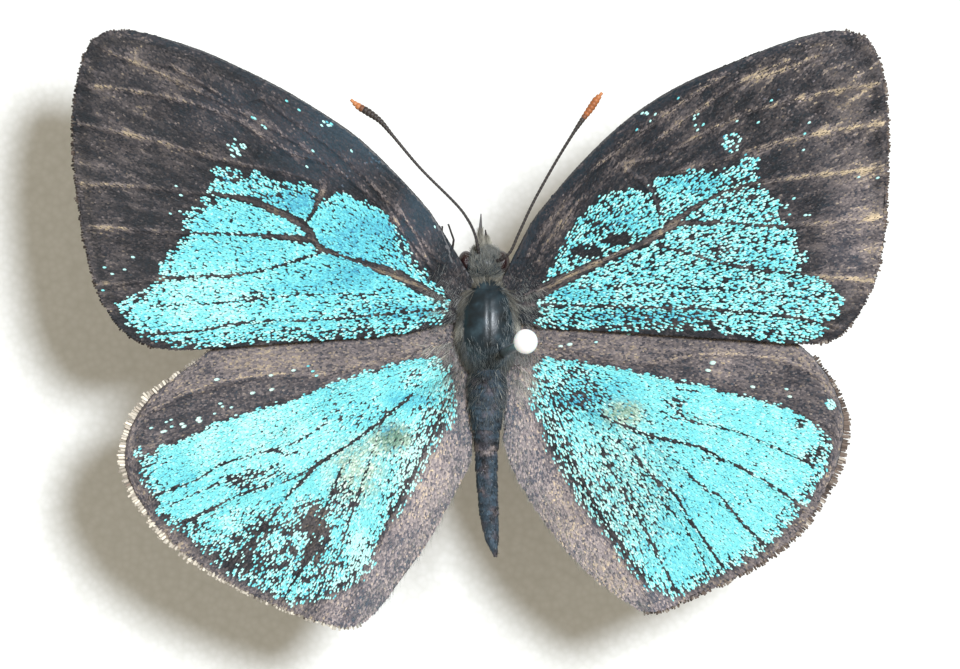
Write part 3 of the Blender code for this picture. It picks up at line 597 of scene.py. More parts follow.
PATTERN["forewing_right"] = {
    "pale veins": 1,
    "shades": (
        (18.8, 4.9, 2.2, 3.6, 0.36, 0.1), (17.8, 8.9, 2.4, 2.6, 0.1, 0.06), (13.4, 11, 2.6, 1.8, -0.06, 0),
    ),
    "ground": 0,
    "crisp": ((5, 5.3, 0.4), (6.3, 6.8, 0.5), (7.6, 7.1, 0.4)),
    "fullness": 0.61,
    # painted highlight: the first tan line is the shine along a bare fold; the second is a vein's own tan
    "tan": (
        ((7.4, 4.3, 0.04), (5.8, 3.55, 0.08), (4.4, 2.9, 0.08), (3.4, 2.35, 0.04)),
        ((3, 4.1, 0.03), (4, 5.6, 0.04), (5.2, 7, 0.03)),
    ),
    "brightness": 0.78,
    "root": (1.5, 1.4),
    "blue": (
        (9, 7.8), (10.5, 8.1), (12.1, 8.1), (13, 8.6), (13.8, 8.7), (13.9, 7.6), (15.1, 6.5), (14.8, 6),
        (15.5, 5.2), (16.2, 4), (16, 3.3), (17.2, 2.6), (18.2, 1.7), (17.8, 0.8), (17, -0.2), (16, -0.4),
        (14, -0.2), (12, 0.3), (9, 0.35), (3, 0.4), (2.8, 1.7), (3, 2.3), (3.8, 3.6), (4.5, 5), (5.5, 6.2),
        (6.2, 6.9), (7.5, 7.2), (8.4, 7), (8.6, 7.4),
    ),
    "dark": (
        ((8.5, 7.6, 0.14), (8.8, 6.7, 0.14), (9, 6, 0.06)),
        ((9.3, 5.4, 0.18), (10.5, 6.2, 0.14), (12, 7.1, 0.07), (13.9, 7.6, 0.07)),
        ((9, 5.1, 0.2), (10, 5.6, 0.16), (12, 5.6, 0.07), (13.5, 5.5, 0.06), (15.6, 5.4, 0.07)),
        ((9, 5.1, 0.22), (8.2, 4.6, 0.19), (7, 4.05, 0.14), (5.5, 3.4, 0.22), (4.2, 2.75, 0.3),
         (3, 2.1, 0.34)),
        ((8.2, 4.6, 0.06), (10, 4.2, 0.07), (12, 3.6, 0.06), (14, 3.2, 0.06), (16.8, 3, 0.06)),
        ((3, 1.5, 0.04), (7, 1.4, 0.04), (11, 1.3, 0.04), (15, 1, 0.05), (18.2, 0.4, 0.06)),
        ((6, 2.4, 0.02), (9, 2.5, 0.03), (13, 2.2, 0.03), (17, 1.7, 0.04)),
    ),
    "thin": (
        (6.9, 4.75, 1.1, 0.45, 1.4), (5.4, 4.1, 1.1, 0.45, 1.4), (12, 4.3, 0.42, 0.45, 1),
        (11.2, 0.65, 0.8, 0.2, 0.8), (11.5, 2.3, 0.5, 0.2, 0.6), (9.3, 0.4, 4, 0.2, 0.5),
        (6.5, 6.3, 1.2, 0.5, 0.5), (14.5, 7.2, 0.7, 0.5, 0.4), (5.6, 5.3, 1.4, 0.8, 0.45),
        (8, 0.8, 5, 0.5, 0.35), (11.5, 5, 1.6, 0.3, 0.4), (13.2, 7.2, 1.6, 1.3, 0.4),
    ),
    "strays": (
        (12.55, 9.6, 0.55, 26), (13.5, 8.6, 0.5, 12), (10.75, 10.6, 0.5, 6), (8.4, 11, 0.4, 5),
        (7.75, 10.2), (10, 11.9), (14.5, 11.7), (13.9, 10.6), (12.9, 10.7), (16.6, 10.6), (16.2, 10.1),
        (16.2, 9.3), (19.85, 7.9), (18.9, 7.9), (16.4, 6, 1.2, 6),
    ),
    "pale": ((12.1, 4.3, 0.15, 3), (15.5, 12.2, 1.5, 6)),
    "deep": (
        (8, 0.9, 5, 0.5, 0.6), (5, 2, 2, 0.5, 0.4), (11, 7.6, 2.6, 0.7, 0.4), (6.6, 5.6, 2.4, 1.4, 0.35),
        (14.5, 3.9, 1.2, 0.8, 0.2),
    ),
    "green": (),
}
print("dark lines on the forewings:", [len(PATTERN[wing]["dark"]) for wing in PATTERN])

# %% [markdown]
# ## The hindwings' pattern
# The hindwings are lighter, with a darker band below the front edge and a few white dots. On the left one
# many blue scales are worn off, so it has more thin spots and strays.

# %% Hindwing patterns
PATTERN["hindwing_left"] = {
    "pale veins": 0.5,
    "shades": (
        (-2.4, -7.6, 2, 3.6, 0.25, 0.12), (-10.4, -1.2, 4.4, 1, 0.04, 0.12),
        (-8.6, -9.9, 2.6, 2.6, 0.04, 0.2),
    ),
    "crisp": (
        (-3, -1.4, 0.6), (-6, -2.05, 0.9), (-9.5, -3.4, 1.1), (-13, -4.4, 1.1), (-15.5, -5.5, 0.8),
    ),
    "fullness": 0.965,
    "tan": (
        ((-7.5, -2, 0), (-9.5, -1.95, 0.02), (-11.5, -2.1, 0.02), (-13.2, -2.4, 0.02), (-15, -3, 0.01),
         (-16.6, -3.8, 0)),
    ),
    "bands": (
        ((-7.5, -2.2), (-9.5, -2.05), (-11.5, -2.2), (-13.25, -2.45), (-15, -3.1), (-16.6, -3.9),
         (-17.4, -5.2), (-17.2, -6.6), (-14.5, -5.3), (-11, -3.9), (-9.5, -3.6), (-8, -2.8)),
    ),
    "brightness": 0.8,
    "root": (-0.8, -0.6),
    "blue": (
        (-17.2, -6.8), (-16.5, -7.8), (-16.2, -9), (-15, -10), (-13.8, -11), (-12.6, -12), (-11, -12.8),
        (-9.5, -13.5), (-7.8, -13.3), (-6.2, -12.5), (-5.7, -11.3), (-5.2, -10.5), (-4.2, -9), (-3.2, -7.5),
        (-2.2, -5.5), (-1.3, -4), (-1.2, -3.3), (-1.5, -1.5), (-2.2, -1.15), (-4, -1.5), (-6, -2.05),
        (-8, -2.7), (-9.5, -3.45), (-11, -3.75), (-13, -4.4), (-14.5, -5.15), (-16, -5.75), (-17.1, -6.4),
    ),
    "dark": (
        ((-3.4, -3, 0.05), (-5, -4.4, 0.06), (-7, -5.8, 0.06), (-8, -6.4, 0.07), (-9.5, -7.3, 0.06),
         (-11, -7.7, 0.05), (-12.2, -8.1, 0.06), (-14, -9, 0.07), (-15.4, -9.7, 0.08)),
        ((-8, -6.4, 0.06), (-8.8, -7.2, 0.07), (-9.5, -7.9, 0.07), (-10.2, -8.8, 0.07),
         (-11.5, -10.5, 0.07), (-12.8, -11.8, 0.07)),
        ((-7.6, -4.4, 0.03), (-9.2, -5.4, 0.05), (-11.2, -6, 0.03), (-13.2, -6.6, 0.05), (-14, -7.2, 0.06),
         (-16.3, -8.1, 0.07)),
        ((-7, -6.8, 0.05), (-7.8, -9.3, 0.06), (-9, -11.8, 0.07), (-9.8, -13.3, 0.07)),
        ((-1.2, -1.8, 0.03), (-2.5, -5.3, 0.04), (-4, -8.3, 0.05), (-5.2, -10.8, 0.06),
         (-6.2, -12.6, 0.07)),
        ((-4.6, -3.6, 0.03), (-5.6, -6.5, 0.04), (-6.6, -9.5, 0.05), (-7.6, -12.8, 0.05)),
        ((-10.8, -6.9, 0.03), (-13, -7.4, 0.04), (-15.6, -8.6, 0.05)),
    ),
    "thin": (
        (-10.4, -10.7, 4.6, 2.6, 0.78), (-8.4, -9.7, 1.3, 2, 1.1), (-7.4, -12.3, 2.2, 1.5, 0.6),
        (-6.8, -8.3, 1.2, 1.4, 0.6), (-6.2, -4, 2.2, 1.2, 0.3), (-12.1, -7.4, 1.2, 0.5, 0.6),
        (-2.4, -5, 1.3, 2.8, 0.6), (-4, -8, 1.4, 2.8, 0.4), (-11.6, -7.3, 1.6, 0.8, 0.5),
        (-10.3, -6.9, 1.2, 0.5, 0.5), (-3.4, -2.2, 0.8, 0.8, 0.5), (-12, -11.3, 1.8, 0.8, 0.6),
        (-14.6, -9.7, 1.2, 0.6, 0.5), (-9.8, -5.9, 0.9, 0.25, 0.6), (-12, -8.9, 1, 0.3, 0.6),
    ),
    "strays": (
        (-12.75, -9.4, 0.55, 60), (-10.15, -10.4, 0.4, 36), (-9, -10.3, 0.45, 40), (-9.9, -8.1, 0.8, 70),
        (-9.2, -12.9, 0.35, 18), (-7.2, -12.1, 0.5, 34), (-5.9, -11.3, 0.7, 50), (-16, -5, 1, 6),
        (-12.6, -3.9, 0.8, 6), (-9, -2.6, 1.2, 5), (-17.1, -5.9, 0.3, 9), (-11.8, -8.7, 0.6, 40),
    ),
    "pale": (
        (-10.35, -2), (-9.25, -1.8), (-13.15, -2.3), (-11.4, -2.9), (-10.45, -2.8), (-14.2, -4.3, 0.2, 3),
        (-14.9, -4.6, 0.15, 2), (-15.9, -4.9, 0.12, 2),
    ),
    "deep": (
        (-11.5, -5, 6, 2.4, -0.22), (-15, -7, 1.5, 1, 0.2), (-4.3, -5.1, 1.2, 0.9, 1),
        (-6, -7.2, 1.6, 2.1, 0.05), (-6.2, -4, 2, 1, 0.12), (-3.2, -6.6, 1.3, 2.8, -0.5),
        (-6, -11, 0.9, 1.8, -0.5), (-3.6, -3.2, 1.6, 0.6, 0.5),
    ),
    "green": ((-6.2, -6.9, 1.9, 2.2, 1.1), (-4.4, -5.2, 1.4, 1.1, 1.4), (-3.4, -6.6, 1.2, 2.4, 0.35)),
}
PATTERN["hindwing_right"] = {
    "pale veins": 0.5,
    "shades": (
        (12.8, -1.6, 2.8, 1.2, 0.2, 0.08), (7.5, -0.5, 4, 0.8, 0.05, 0.03), (3.9, -9.4, 2, 2.4, -0.24, 0.2),
        (6.5, -12.1, 2.2, 1.8, -0.18, 0.2), (1.8, -6, 1.2, 1.8, 0.12, 0),
    ),
    "crisp": (
        (3.5, -1.2, 0.3), (6, -1.5, 0.5), (9, -2.2, 0.9), (12, -2.8, 1.1), (14.5, -3.5, 1.1),
        (16.4, -4.1, 0.8),
    ),
    "fullness": 0.96,
    "tan": (
        ((7.5, -1.65, 0), (9, -1.35, 0.02), (11, -0.98, 0.02), (13, -1, 0.02), (15, -1.15, 0.01),
         (16.8, -1.8, 0)),
    ),
    "bands": (
        ((6, -1.3), (9, -1.45), (11, -1.1), (13, -1.1), (15, -1.3), (17, -2.1), (17.9, -3.6), (18, -5.2),
         (16, -3.9), (14, -3.4), (12, -2.8), (9, -2.2)),
    ),
    "brightness": 0.83,
    "root": (1.7, -0.6),
    "blue": (
        (17.6, -5.2), (17.6, -5.8), (17.1, -7.3), (16.2, -8.6), (15, -10.1), (14, -11), (12.5, -11.8),
        (11, -12.5), (9.9, -13.2), (8.7, -12.8), (8, -12.3), (7, -11), (6, -9.5), (5, -8.3), (4.2, -6.8),
        (3.5, -5.8), (3, -4.3), (2.5, -2.8), (2.8, -1.5), (3.2, -1.15), (3.8, -1.25), (6, -1.5), (9, -2.2),
        (12, -2.8), (14, -3.4), (16, -3.9),
    ),
    "dark": (
        ((6, -4, 0.03), (8.5, -5.1, 0.07), (11, -5.6, 0.06), (12.2, -6.3, 0.05), (13.2, -6.7, 0.06),
         (15, -7.8, 0.06), (16.4, -8.8, 0.07)),
        ((9.2, -3.2, 0.05), (10.4, -4.3, 0.05), (13, -4.9, 0.03), (16.8, -6.6, 0.04)),
        ((9.8, -2.7, 0.04), (11, -2.9, 0.04)),
        ((9.8, -6.3, 0.03), (11, -7.5, 0.06), (12, -8.1, 0.06), (13.5, -9.8, 0.07), (14.5, -10.7, 0.07)),
        ((7.8, -6.2, 0.03), (8.8, -7.3, 0.05), (9.8, -8, 0.06), (10.5, -9.3, 0.07), (11.25, -10.3, 0.07),
         (12.2, -11.7, 0.07)),
        ((9, -8.1, 0.03), (10, -9.3, 0.04), (10.8, -10.5, 0.05), (11.5, -12, 0.06)),
        ((3.4, -2.6, 0.03), (4.9, -6.8, 0.05), (5.5, -8, 0.06), (6.2, -9.3, 0.07), (7, -10.5, 0.07),
         (8.4, -12.6, 0.07)),
        ((5.4, -4.2, 0.02), (6.6, -6.8, 0.03), (8.2, -9.6, 0.05), (9.8, -12.8, 0.06)),
    ),
    "thin": (
        (16, -4.5, 0.5, 0.3, 0.8), (16.7, -6, 0.8, 0.6, 0.75), (4.8, -2.8, 2.2, 1.6, 0.7),
        (3.8, -5.5, 1.2, 2.8, 0.55), (7, -8.2, 3.8, 5.2, 0.42), (9.5, -4.2, 1.2, 0.6, 0.3),
        (9.9, -3.5, 0.5, 0.7, 0.6), (11.5, -6.3, 1.2, 0.3, 0.5), (13, -8.3, 0.8, 0.6, 0.3),
    ),
    "strays": (
        (17.6, -3.5, 0.3, 16), (16.5, -5.2, 0.6, 10), (15, -3, 0.8, 3), (6.5, -0.9, 2, 4),
        (17.4, -6.6, 0.4, 8),
    ),
    "pale": (
        (3.9, -0.6), (4.4, -0.6), (11.6, -1.5, 0.12, 2), (11.3, -1.8), (13.55, -2.6), (15.45, -3.2),
    ),
    "deep": (
        (6, -3.2, 3, 1.8, 0.4), (7.2, -3.9, 1.3, 0.9, 0.3), (8.5, -8.8, 5.5, 5, 0.2),
        (4.6, -3.2, 1.6, 0.5, 0.5),
    ),
    "green": ((7.2, -3.9, 1.3, 0.9, 1.1), (6.8, -7.6, 3.8, 5.2, 0.45)),
}
print("patterns for", ", ".join(PATTERN))

# %% [markdown]
# ## Measuring the pattern
# Small measures turn the lists into numbers for any seed: how deep a point lies inside a closed limit, how
# near it is to a line with or without a width of its own, and how far it is inside an oval. Another gives
# soft cloudy noise, so that no limit comes out as a drawn line.

# %% Pattern measures
EDGE_STEP = 0.3


def along_line(spots, start, end):
    """How far along a straight piece each point's nearest place is, as a share, and how far off it is."""
    line = end - start
    share = np.clip((spots - start) @ line / (line @ line), 0, 1)
    return share, np.linalg.norm(start + share[:, None] * line - spots, axis=1)


def depth_inside(spots, outline):
    """How far each point lies inside a closed outline, negative outside."""
    corners = np.array(outline, float)
    nearest = np.full(len(spots), np.inf)
    within = np.zeros(len(spots), bool)
    for start, end in zip(corners, np.roll(corners, -1, axis=0)):
        nearest = np.minimum(nearest, along_line(spots, start, end)[1])
        crosses = (start[1] > spots[:, 1]) != (end[1] > spots[:, 1])
        if end[1] != start[1]:
            at_x = start[0] + (spots[:, 1] - start[1]) * (end[0] - start[0]) / (end[1] - start[1])
            within ^= crosses & (spots[:, 0] < at_x)
    return np.where(within, nearest, -nearest)


def line_depth(spots, line):
    """How far inside a line of changing half width each point lies, negative beside it."""
    best = np.full(len(spots), -np.inf)
    for start, end in zip(np.array(line[:-1]), np.array(line[1:])):
        share, away = along_line(spots, start[:2], end[:2])
        best = np.maximum(best, start[2] + share * (end[2] - start[2]) - away)
    return best


def off_line(spots, points):
    """How far each point is from a line without a width."""
    return -line_depth(spots, [(x, y, 0.0) for x, y in points])


def flowing(points, step):
    """Evenly spaced places along a smooth line through the points, in as many columns as they have."""
    given = np.array(points, float)
    given = np.vstack([2 * given[0] - given[1], given, 2 * given[-1] - given[-2]])
    share = np.linspace(0, 1, 12, endpoint=False)[:, None]
    line = []
    for a, b, c, d in zip(given, given[1:], given[2:], given[3:]):
        bend, twist = 2 * a - 5 * b + 4 * c - d, 3 * b - a - 3 * c + d
        line.append(b + 0.5 * share * ((c - a) + share * (bend + share * twist)))
    line = np.vstack(line + [given[-2:-1]])
    covered = np.concatenate([[0], np.cumsum(np.linalg.norm(np.diff(line, axis=0), axis=1))])
    places = np.arange(0, covered[-1], step)
    return np.stack([np.interp(places, covered, column) for column in line.T], axis=1)


def depth_in_wing(wing, spots):
    return depth_inside(spots, flowing(OUTLINE[wing] + OUTLINE[wing][:1], EDGE_STEP))


def oval(spots, patch):
    """One in the middle of an oval patch, fading to nothing at its edge, times its strength."""
    x, y, half_x, half_y, strength = patch
    away = np.hypot((spots[:, 0] - x) / half_x, (spots[:, 1] - y) / half_y)
    return strength * np.clip(1.6 * (1 - away), 0, 1)


def ovals(spots, patches):
    return sum((oval(spots, patch) for patch in patches), np.zeros(len(spots)))


def groove(distance, width):
    """One along a line, falling softly to nothing a width or two beside it."""
    return np.exp(-((distance / width) ** 2))


def noise_at(x, y, shift, octaves=0):
    """Noise between about -1 and 1, with finer noise laid over it where octaves are asked for."""
    if octaves:
        return np.array([noise.fractal((a, b, shift), 1.0, 2.0, octaves) for a, b in zip(x, y)])
    return np.array([noise.noise((a, b, shift)) for a, b in zip(x, y)])


def cloudy(spots, size, shift):
    """Soft noise whose lumps are the given size across."""
    return noise_at(*(spots.T / size), shift, 2)


corner = np.array([[0.0, 0.0]])
print({wing: round(float(depth_in_wing(wing, corner)[0]), 2) for wing in PATTERN}, "mm inside each edge")

# %% [markdown]
# ## Rows of scales
# Scales stand in rows across the wing, like tiles on a roof, with their free ends away from the body. So the
# seeds are laid on circles round the wing's root, one row after another, each row shifted by half a scale.
# A ray from above drops every seed onto the wing, and two more feel which way the surface leans there.

# %% Rows on the wing
WING_REACH = 24.0
FIRST_ROW = 0.6
PROBE_HEIGHT = 60.0
LEAN_STEP = 0.12
STEEPEST = 0.25


def rows_round(root, row_step, step, chance):
    """Seeds in shifted rows on circles round the root, each with the direction away from it."""
    found = []
    for row, radius in enumerate(np.arange(FIRST_ROW, WING_REACH, row_step)):
        count = int(2 * math.pi * radius / step)
        angles = (np.arange(count) + 0.5 * (row % 2)) * 2 * math.pi / count
        radii = radius + chance.uniform(-0.3, 0.3, count) * row_step
        angles += chance.uniform(-0.25, 0.25, count) * step / radius
        found.append(np.stack([radii * np.cos(angles), radii * np.sin(angles)], axis=1))
    away = np.vstack(found)
    return away + np.array(root), unit(away)


def surface_of(node):
    mesh = nodes[node].data
    return BVHTree.FromPolygons([v.co for v in mesh.vertices], [p.vertices for p in mesh.polygons])


SURFACES = {wing: surface_of(wing) for wing in PATTERN}


def drop(wing, spots, side=1):
    """Heights where rays from above (side 1) or below (side -1) meet the wing, NaN where none does."""
    start = PROBE_HEIGHT * MM if side > 0 else 0.0
    heights = np.full(len(spots), np.nan)
    for i, (x, y) in enumerate(spots):
        hit = SURFACES[wing].ray_cast(Vector((x * MM, y * MM, start)), Vector((0, 0, -side)))[0]
        if hit:
            heights[i] = hit.z / MM
    return heights


def settle(wing, spots, directions, side=1):
    """Drops flat seeds on a wing: which of them land, where, their headings and their up directions."""
    heights = drop(wing, spots, side)
    slopes = np.stack([drop(wing, spots + step, side) - heights for step in LEAN_STEP * np.eye(2)], axis=1)
    slopes = np.clip(np.nan_to_num(slopes / LEAN_STEP), -STEEPEST, STEEPEST)
    up = unit(np.column_stack([-slopes, np.ones(len(spots))])) * side
    heading = unit(np.column_stack([directions, np.sum(directions * slopes, axis=1)]))
    landed = ~np.isnan(heights)
    places = np.column_stack([spots, heights])
    return landed, places[landed], heading[landed], upright(heading, up)[landed]


print("wing height near the roots:", [round(float(drop(wing, np.array([PATTERN[wing]["root"]]))[0]), 2)
                                      for wing in PATTERN], "mm")

# %% [markdown]
# ## Finishes that read the leaf
# Every scale and hair has its own tone and warmth, and its two coordinates, across and along. One function
# reads them for a material. A second mixes two colour ramps by warmth, for things that come in two hues.

# %% Leaf finishes
CARRIED = ("tone", "warm", "leaf")


def leaf_finish(name, roughness, **sockets):
    """A finish, its base colour socket, and what a leaf carries: tone, warmth, places across and along."""
    made, tree, shader = new_finish(name, roughness, **sockets)
    tone, warm, leaf = (add(tree, "ShaderNodeAttribute", attribute_name=key).outputs for key in CARRIED)
    parts = add(tree, "ShaderNodeSeparateXYZ", {0: leaf["Vector"]}).outputs
    return made, tree, shader.inputs["Base Color"], tone["Fac"], warm["Fac"], parts[0], parts[1]


def two_hues(tree, tone, warm, *hues):
    """Two ramps over tone, the first where warmth is nothing and the second where it is one."""
    first, second = (add(tree, "ShaderNodeValToRGB", {"Fac": tone}, stops=hue).outputs[0] for hue in hues)
    return add(tree, "ShaderNodeMix", {0: warm, 6: first, 7: second}, data_type="RGBA").outputs[2]


print("leaf finishes read", ", ".join(CARRIED))

# %% [markdown]
# ## Blue scales
# A blue scale has no blue pigment. Thin layers of chitin in it reflect one band of light, so the colour is
# strong and changes from scale to scale as each leans another way. Tone runs from deep blue to pale
# turquoise, and warmth turns it green. The foot, which the scale before covers, and the two edges are painted
# darker, as shade where the scales overlap and bend away.

# %% Blue scale finish
def make_blue_scales():
    made, tree, base, tone, warm, across, along = leaf_finish(
        "blue wing scale, layered chitin", 0.6, Specular_IOR_Level=0.3)
    blue = ((0.0, "#1F5F86"), (0.3, "#3792B2"), (0.6, "#5FCAD6"), (0.85, "#86E4E2"), (1.0, "#C2F5EE"))
    green = ((0.0, "#3F6E58"), (0.45, "#86A690"), (0.75, "#AFC9B4"), (1.0, "#DDEEDD"))
    hue = two_hues(tree, tone, warm, blue, green)
    # painted shade: the scale's two edges and its covered foot are mixed towards a dark blue
    edge = add(tree, "ShaderNodeMath", {0: across, 1: 2.0}, operation="POWER").outputs[0]
    foot = add(tree, "ShaderNodeMapRange", {0: along, 1: 0.0, 2: 0.45, 3: 0.55, 4: 0.0}).outputs[0]
    shade = add(tree, "ShaderNodeMath", {0: edge, 1: 0.24, 2: foot}, operation="MULTIPLY_ADD").outputs[0]
    done = add(tree, "ShaderNodeMix", {0: shade, 6: hue, 7: colour("#1D4E63")}, data_type="RGBA").outputs[2]
    tree.links.new(done, base)
    return made


BLUE_SCALES = make_blue_scales()
print("made", BLUE_SCALES.name)

# %% [markdown]
# ## Ground scales
# The scales below the blue hold brown pigment and are matt. Warmth picks the hue, from slate through brown to
# tan, and tone makes it darker or lighter. Each scale's foot is painted darker, as shade under the scale
# before it. The underside's and the fringe's scales are the same thing in other colours, so one function
# makes all three.

# %% Ground scale finish
def make_ground_scales(name, roughness, *stops):
    made, tree, base, tone, warm, _, along = leaf_finish(name, roughness, Specular_IOR_Level=0.25)
    pigment = add(tree, "ShaderNodeValToRGB", {"Fac": warm}, stops=stops).outputs["Color"]
    light = add(tree, "ShaderNodeMapRange", {0: tone, 1: 0.0, 2: 1.0, 3: 0.25, 4: 2.6}).outputs[0]
    # painted shade: the foot, covered by the scale before, is drawn darker
    foot = add(tree, "ShaderNodeMapRange", {0: along, 1: 0.0, 2: 0.5, 3: 0.75, 4: 1.0}).outputs[0]
    amount = add(tree, "ShaderNodeMath", {0: light, 1: foot}, operation="MULTIPLY").outputs[0]
    done = add(tree, "ShaderNodeVectorMath", {0: pigment, "Scale": amount}, operation="SCALE").outputs[0]
    tree.links.new(done, base)
    return made


GROUND_SCALES = make_ground_scales("brown wing scale, pigmented chitin", 0.62, (0.0, "#283741"),
                                   (0.35, "#3B393F"), (0.68, "#746A68"), (1.0, "#94846D"))
UNDER_SCALES = make_ground_scales("underside scale, pigmented chitin", 0.7, (0.0, "#57504B"),
                                  (1.0, "#B0A08E"))
FRINGE_SCALES = make_ground_scales("fringe scale, pigmented chitin", 0.7, (0.0, "#3A3331"), (0.5, "#7D6C61"),
                                   (1.0, "#E6DCCB"))
print("made", GROUND_SCALES.name, UNDER_SCALES.name, FRINGE_SCALES.name, sep=", ")

# %% [markdown]
# ## Bare wing skin
# Under the scales the wing is dry brown chitin, finely pitted with the sockets that the scales stand in. It
# shows only between scales, so it is as dark as the ground scales of its wing.

# %% Wing membrane finish
DARK_SKIN = pitted("bare forewing skin, dry chitin", 0.5, 0.1, 0.01, 0.6, (0.4, "#332D2D"), (1.0, "#1E1B1C"),
                   cloud=1.5, both=True)
BROWN_SKIN = pitted("bare hindwing skin, dry chitin", 0.5, 0.1, 0.01, 0.6, (0.4, "#6A5D5A"), (1.0, "#453D3C"),
                    cloud=1.5, both=True)
for wing in PATTERN:
    nodes[wing].material_slots[0].material = DARK_SKIN if wing.startswith("fore") else BROWN_SKIN
print("made", DARK_SKIN.name, BROWN_SKIN.name, sep=", ")

# %% [markdown]
# ## Which scales are blue
# Blue scales stand on top of the ground scales wherever the pattern allows, chosen one by one by chance, so
# the limit of the blue is made of single scales as on a real wing. Scales fall off in short strokes along the
# wing, so the luck itself runs in strokes. The measures below are shares from nothing to one.

# %% Which scales are blue
SMALLEST_CIRCLE = 0.12
STROKE_WIDTH, STROKE_LENGTH = 0.095, 0.4
ARC_RADIUS = 9  # strokes are measured across at this distance from the root


def ranked(values):
    """The same order as the values, spread evenly between nothing and one."""
    return np.argsort(np.argsort(values)) / len(values)


def fleck_luck(root, spots, chance):
    """Evenly spread luck that runs in short strokes along the wing, so gaps come as strokes too."""
    away = spots - np.array(root)
    arc = np.arctan2(away[:, 1], away[:, 0]) * ARC_RADIUS
    stroke = noise_at(arc / STROKE_WIDTH, np.linalg.norm(away, axis=1) / STROKE_LENGTH, 4.0)
    return ranked(chance.normal(0, 1, len(spots)) + 2.2 * stroke)


def blue_share(wing, spots):
    """What share of the scales at each point of a wing are blue, from none to nearly all."""
    pattern = PATTERN[wing]
    depth = depth_inside(spots, pattern["blue"]) + 0.25 * cloudy(spots, 0.6, 3.0)
    share = np.where(depth < -0.12, 0, np.clip(0.42 + depth / 1.5, 0, pattern["fullness"]))
    crisp = np.clip(0.5 + line_depth(spots, pattern["crisp"]) / 0.4, 0, 1) * pattern["fullness"]
    share = np.where(depth < 0, share, np.maximum(share, crisp))
    for line in pattern["dark"]:
        beside = -line_depth(spots, line) + 0.05 * cloudy(spots, 0.3, 7.0)
        share = share * np.clip(0.5 + beside / 0.1, 0, 1)
    for patch in pattern["thin"]:
        share = share * (1 - oval(spots, patch) * np.clip(0.8 + 0.55 * cloudy(spots, 0.5, 11.0), 0, 1))
    return share


def strays(spots, circles, chance):
    """Marks a few seeds inside each circle, as many as it asks for, or one where no circle is given."""
    marked = np.zeros(len(spots), bool)
    for x, y, *more in circles:
        radius, count = more or (SMALLEST_CIRCLE, 1)
        away = np.hypot(spots[:, 0] - x, spots[:, 1] - y)
        near = np.flatnonzero(away < max(radius, SMALLEST_CIRCLE))
        if len(near):
            marked[chance.choice(near, min(count, len(near)), replace=False)] = True
    return marked


for wing in PATTERN:
    middle = np.mean(PATTERN[wing]["blue"], axis=0)[None, :]
    print(wing, "is blue in its middle by a share of", round(float(blue_share(wing, middle)[0]), 2))

# %% [markdown]
# ## What the ground follows
# The ground scales differ from place to place: fine streaks run out from the root, single strokes catch the
# light, the scales are paler along the veins, and each wing ends in a darker rim. These measures are taken
# first.
# The numbers are noise steps, widths in millimetres, and shares from nothing to one.

# %% Marks on a wing
VEIN_PALENESS_WIDTH, VEIN_WIDTH, FRONT_WIDTH, INNER_WIDTH = 0.22, 0.08, 0.3, 1.6
COSTA = slice(2, 13)  # the corners of a wing's front edge
INNER_EDGE = {"hindwing_left": slice(19, 28), "hindwing_right": slice(18, 26)}


def marks_on(wing, spots, directions, chance):
    """Streaks, clouds, pale vein lines, lit strokes and the blue field at each seed, and two even chances."""
    pattern, fore = PATTERN[wing], wing.startswith("fore")
    away = np.linalg.norm(spots - np.array(pattern["root"]), axis=1)
    bearing = np.arctan2(directions[:, 1], directions[:, 0])
    at = SimpleNamespace(away=away, cloud=cloudy(spots, 1.6, 17.0))
    at.streak = noise_at(bearing * 34, away * 0.45, 2.0, 3)
    dash = noise_at(bearing * 120, away * 1.3, 9.0)
    at.speckle, at.hue = chance.normal(0, 1, len(spots)), chance.normal(0, 1, len(spots))
    at.blue = np.clip(depth_inside(spots, pattern["blue"]) / 0.5 + 0.5, 0, 1)
    from_vein = np.min([off_line(spots, vein) for vein in VEINS[wing]], axis=0)
    # the ground scales are drawn paler near the veins, fading over the given width
    at.dust = groove(from_vein, VEIN_PALENESS_WIDTH) * np.clip(0.6 + 0.8 * cloudy(spots, 1.2, 21.0), 0, 1)
    at.line = groove(from_vein, VEIN_WIDTH) * np.clip(0.75 + 0.6 * cloudy(spots, 0.6, 27.0), 0.2, 1)
    at.outer = np.clip((away - 11) / 8, 0, 1) if fore else np.clip((away - 14) / 4, 0, 1)
    lit = np.clip(2.2 * (dash + 0.6 * at.dust + 0.5 * at.streak - 0.32) + 0.3 * at.speckle, 0, 1)
    at.lit = lit * (0.35 + 0.65 * at.outer) * (0.3 + 0.7 * pattern["pale veins"])
    at.lit = at.lit + 0.8 * (chance.random(len(spots)) < 0.01)
    # tan lines: partly the wing's own tan, partly a painted highlight along a shiny bare fold
    tan = np.max([line_depth(spots, line) for line in pattern["tan"]], axis=0)
    at.tan = np.clip(tan / 0.05 + 0.7, 0, 1) * np.clip(0.75 + 0.5 * cloudy(spots, 0.4, 23.0), 0, 1)
    at.rim = np.clip(1.2 - np.abs(depth_inside(spots, OUTLINE[wing]) - 0.5) / 0.3, 0, 1) * at.outer
    return at


print("veins are dusted to", VEIN_PALENESS_WIDTH, "mm either side")
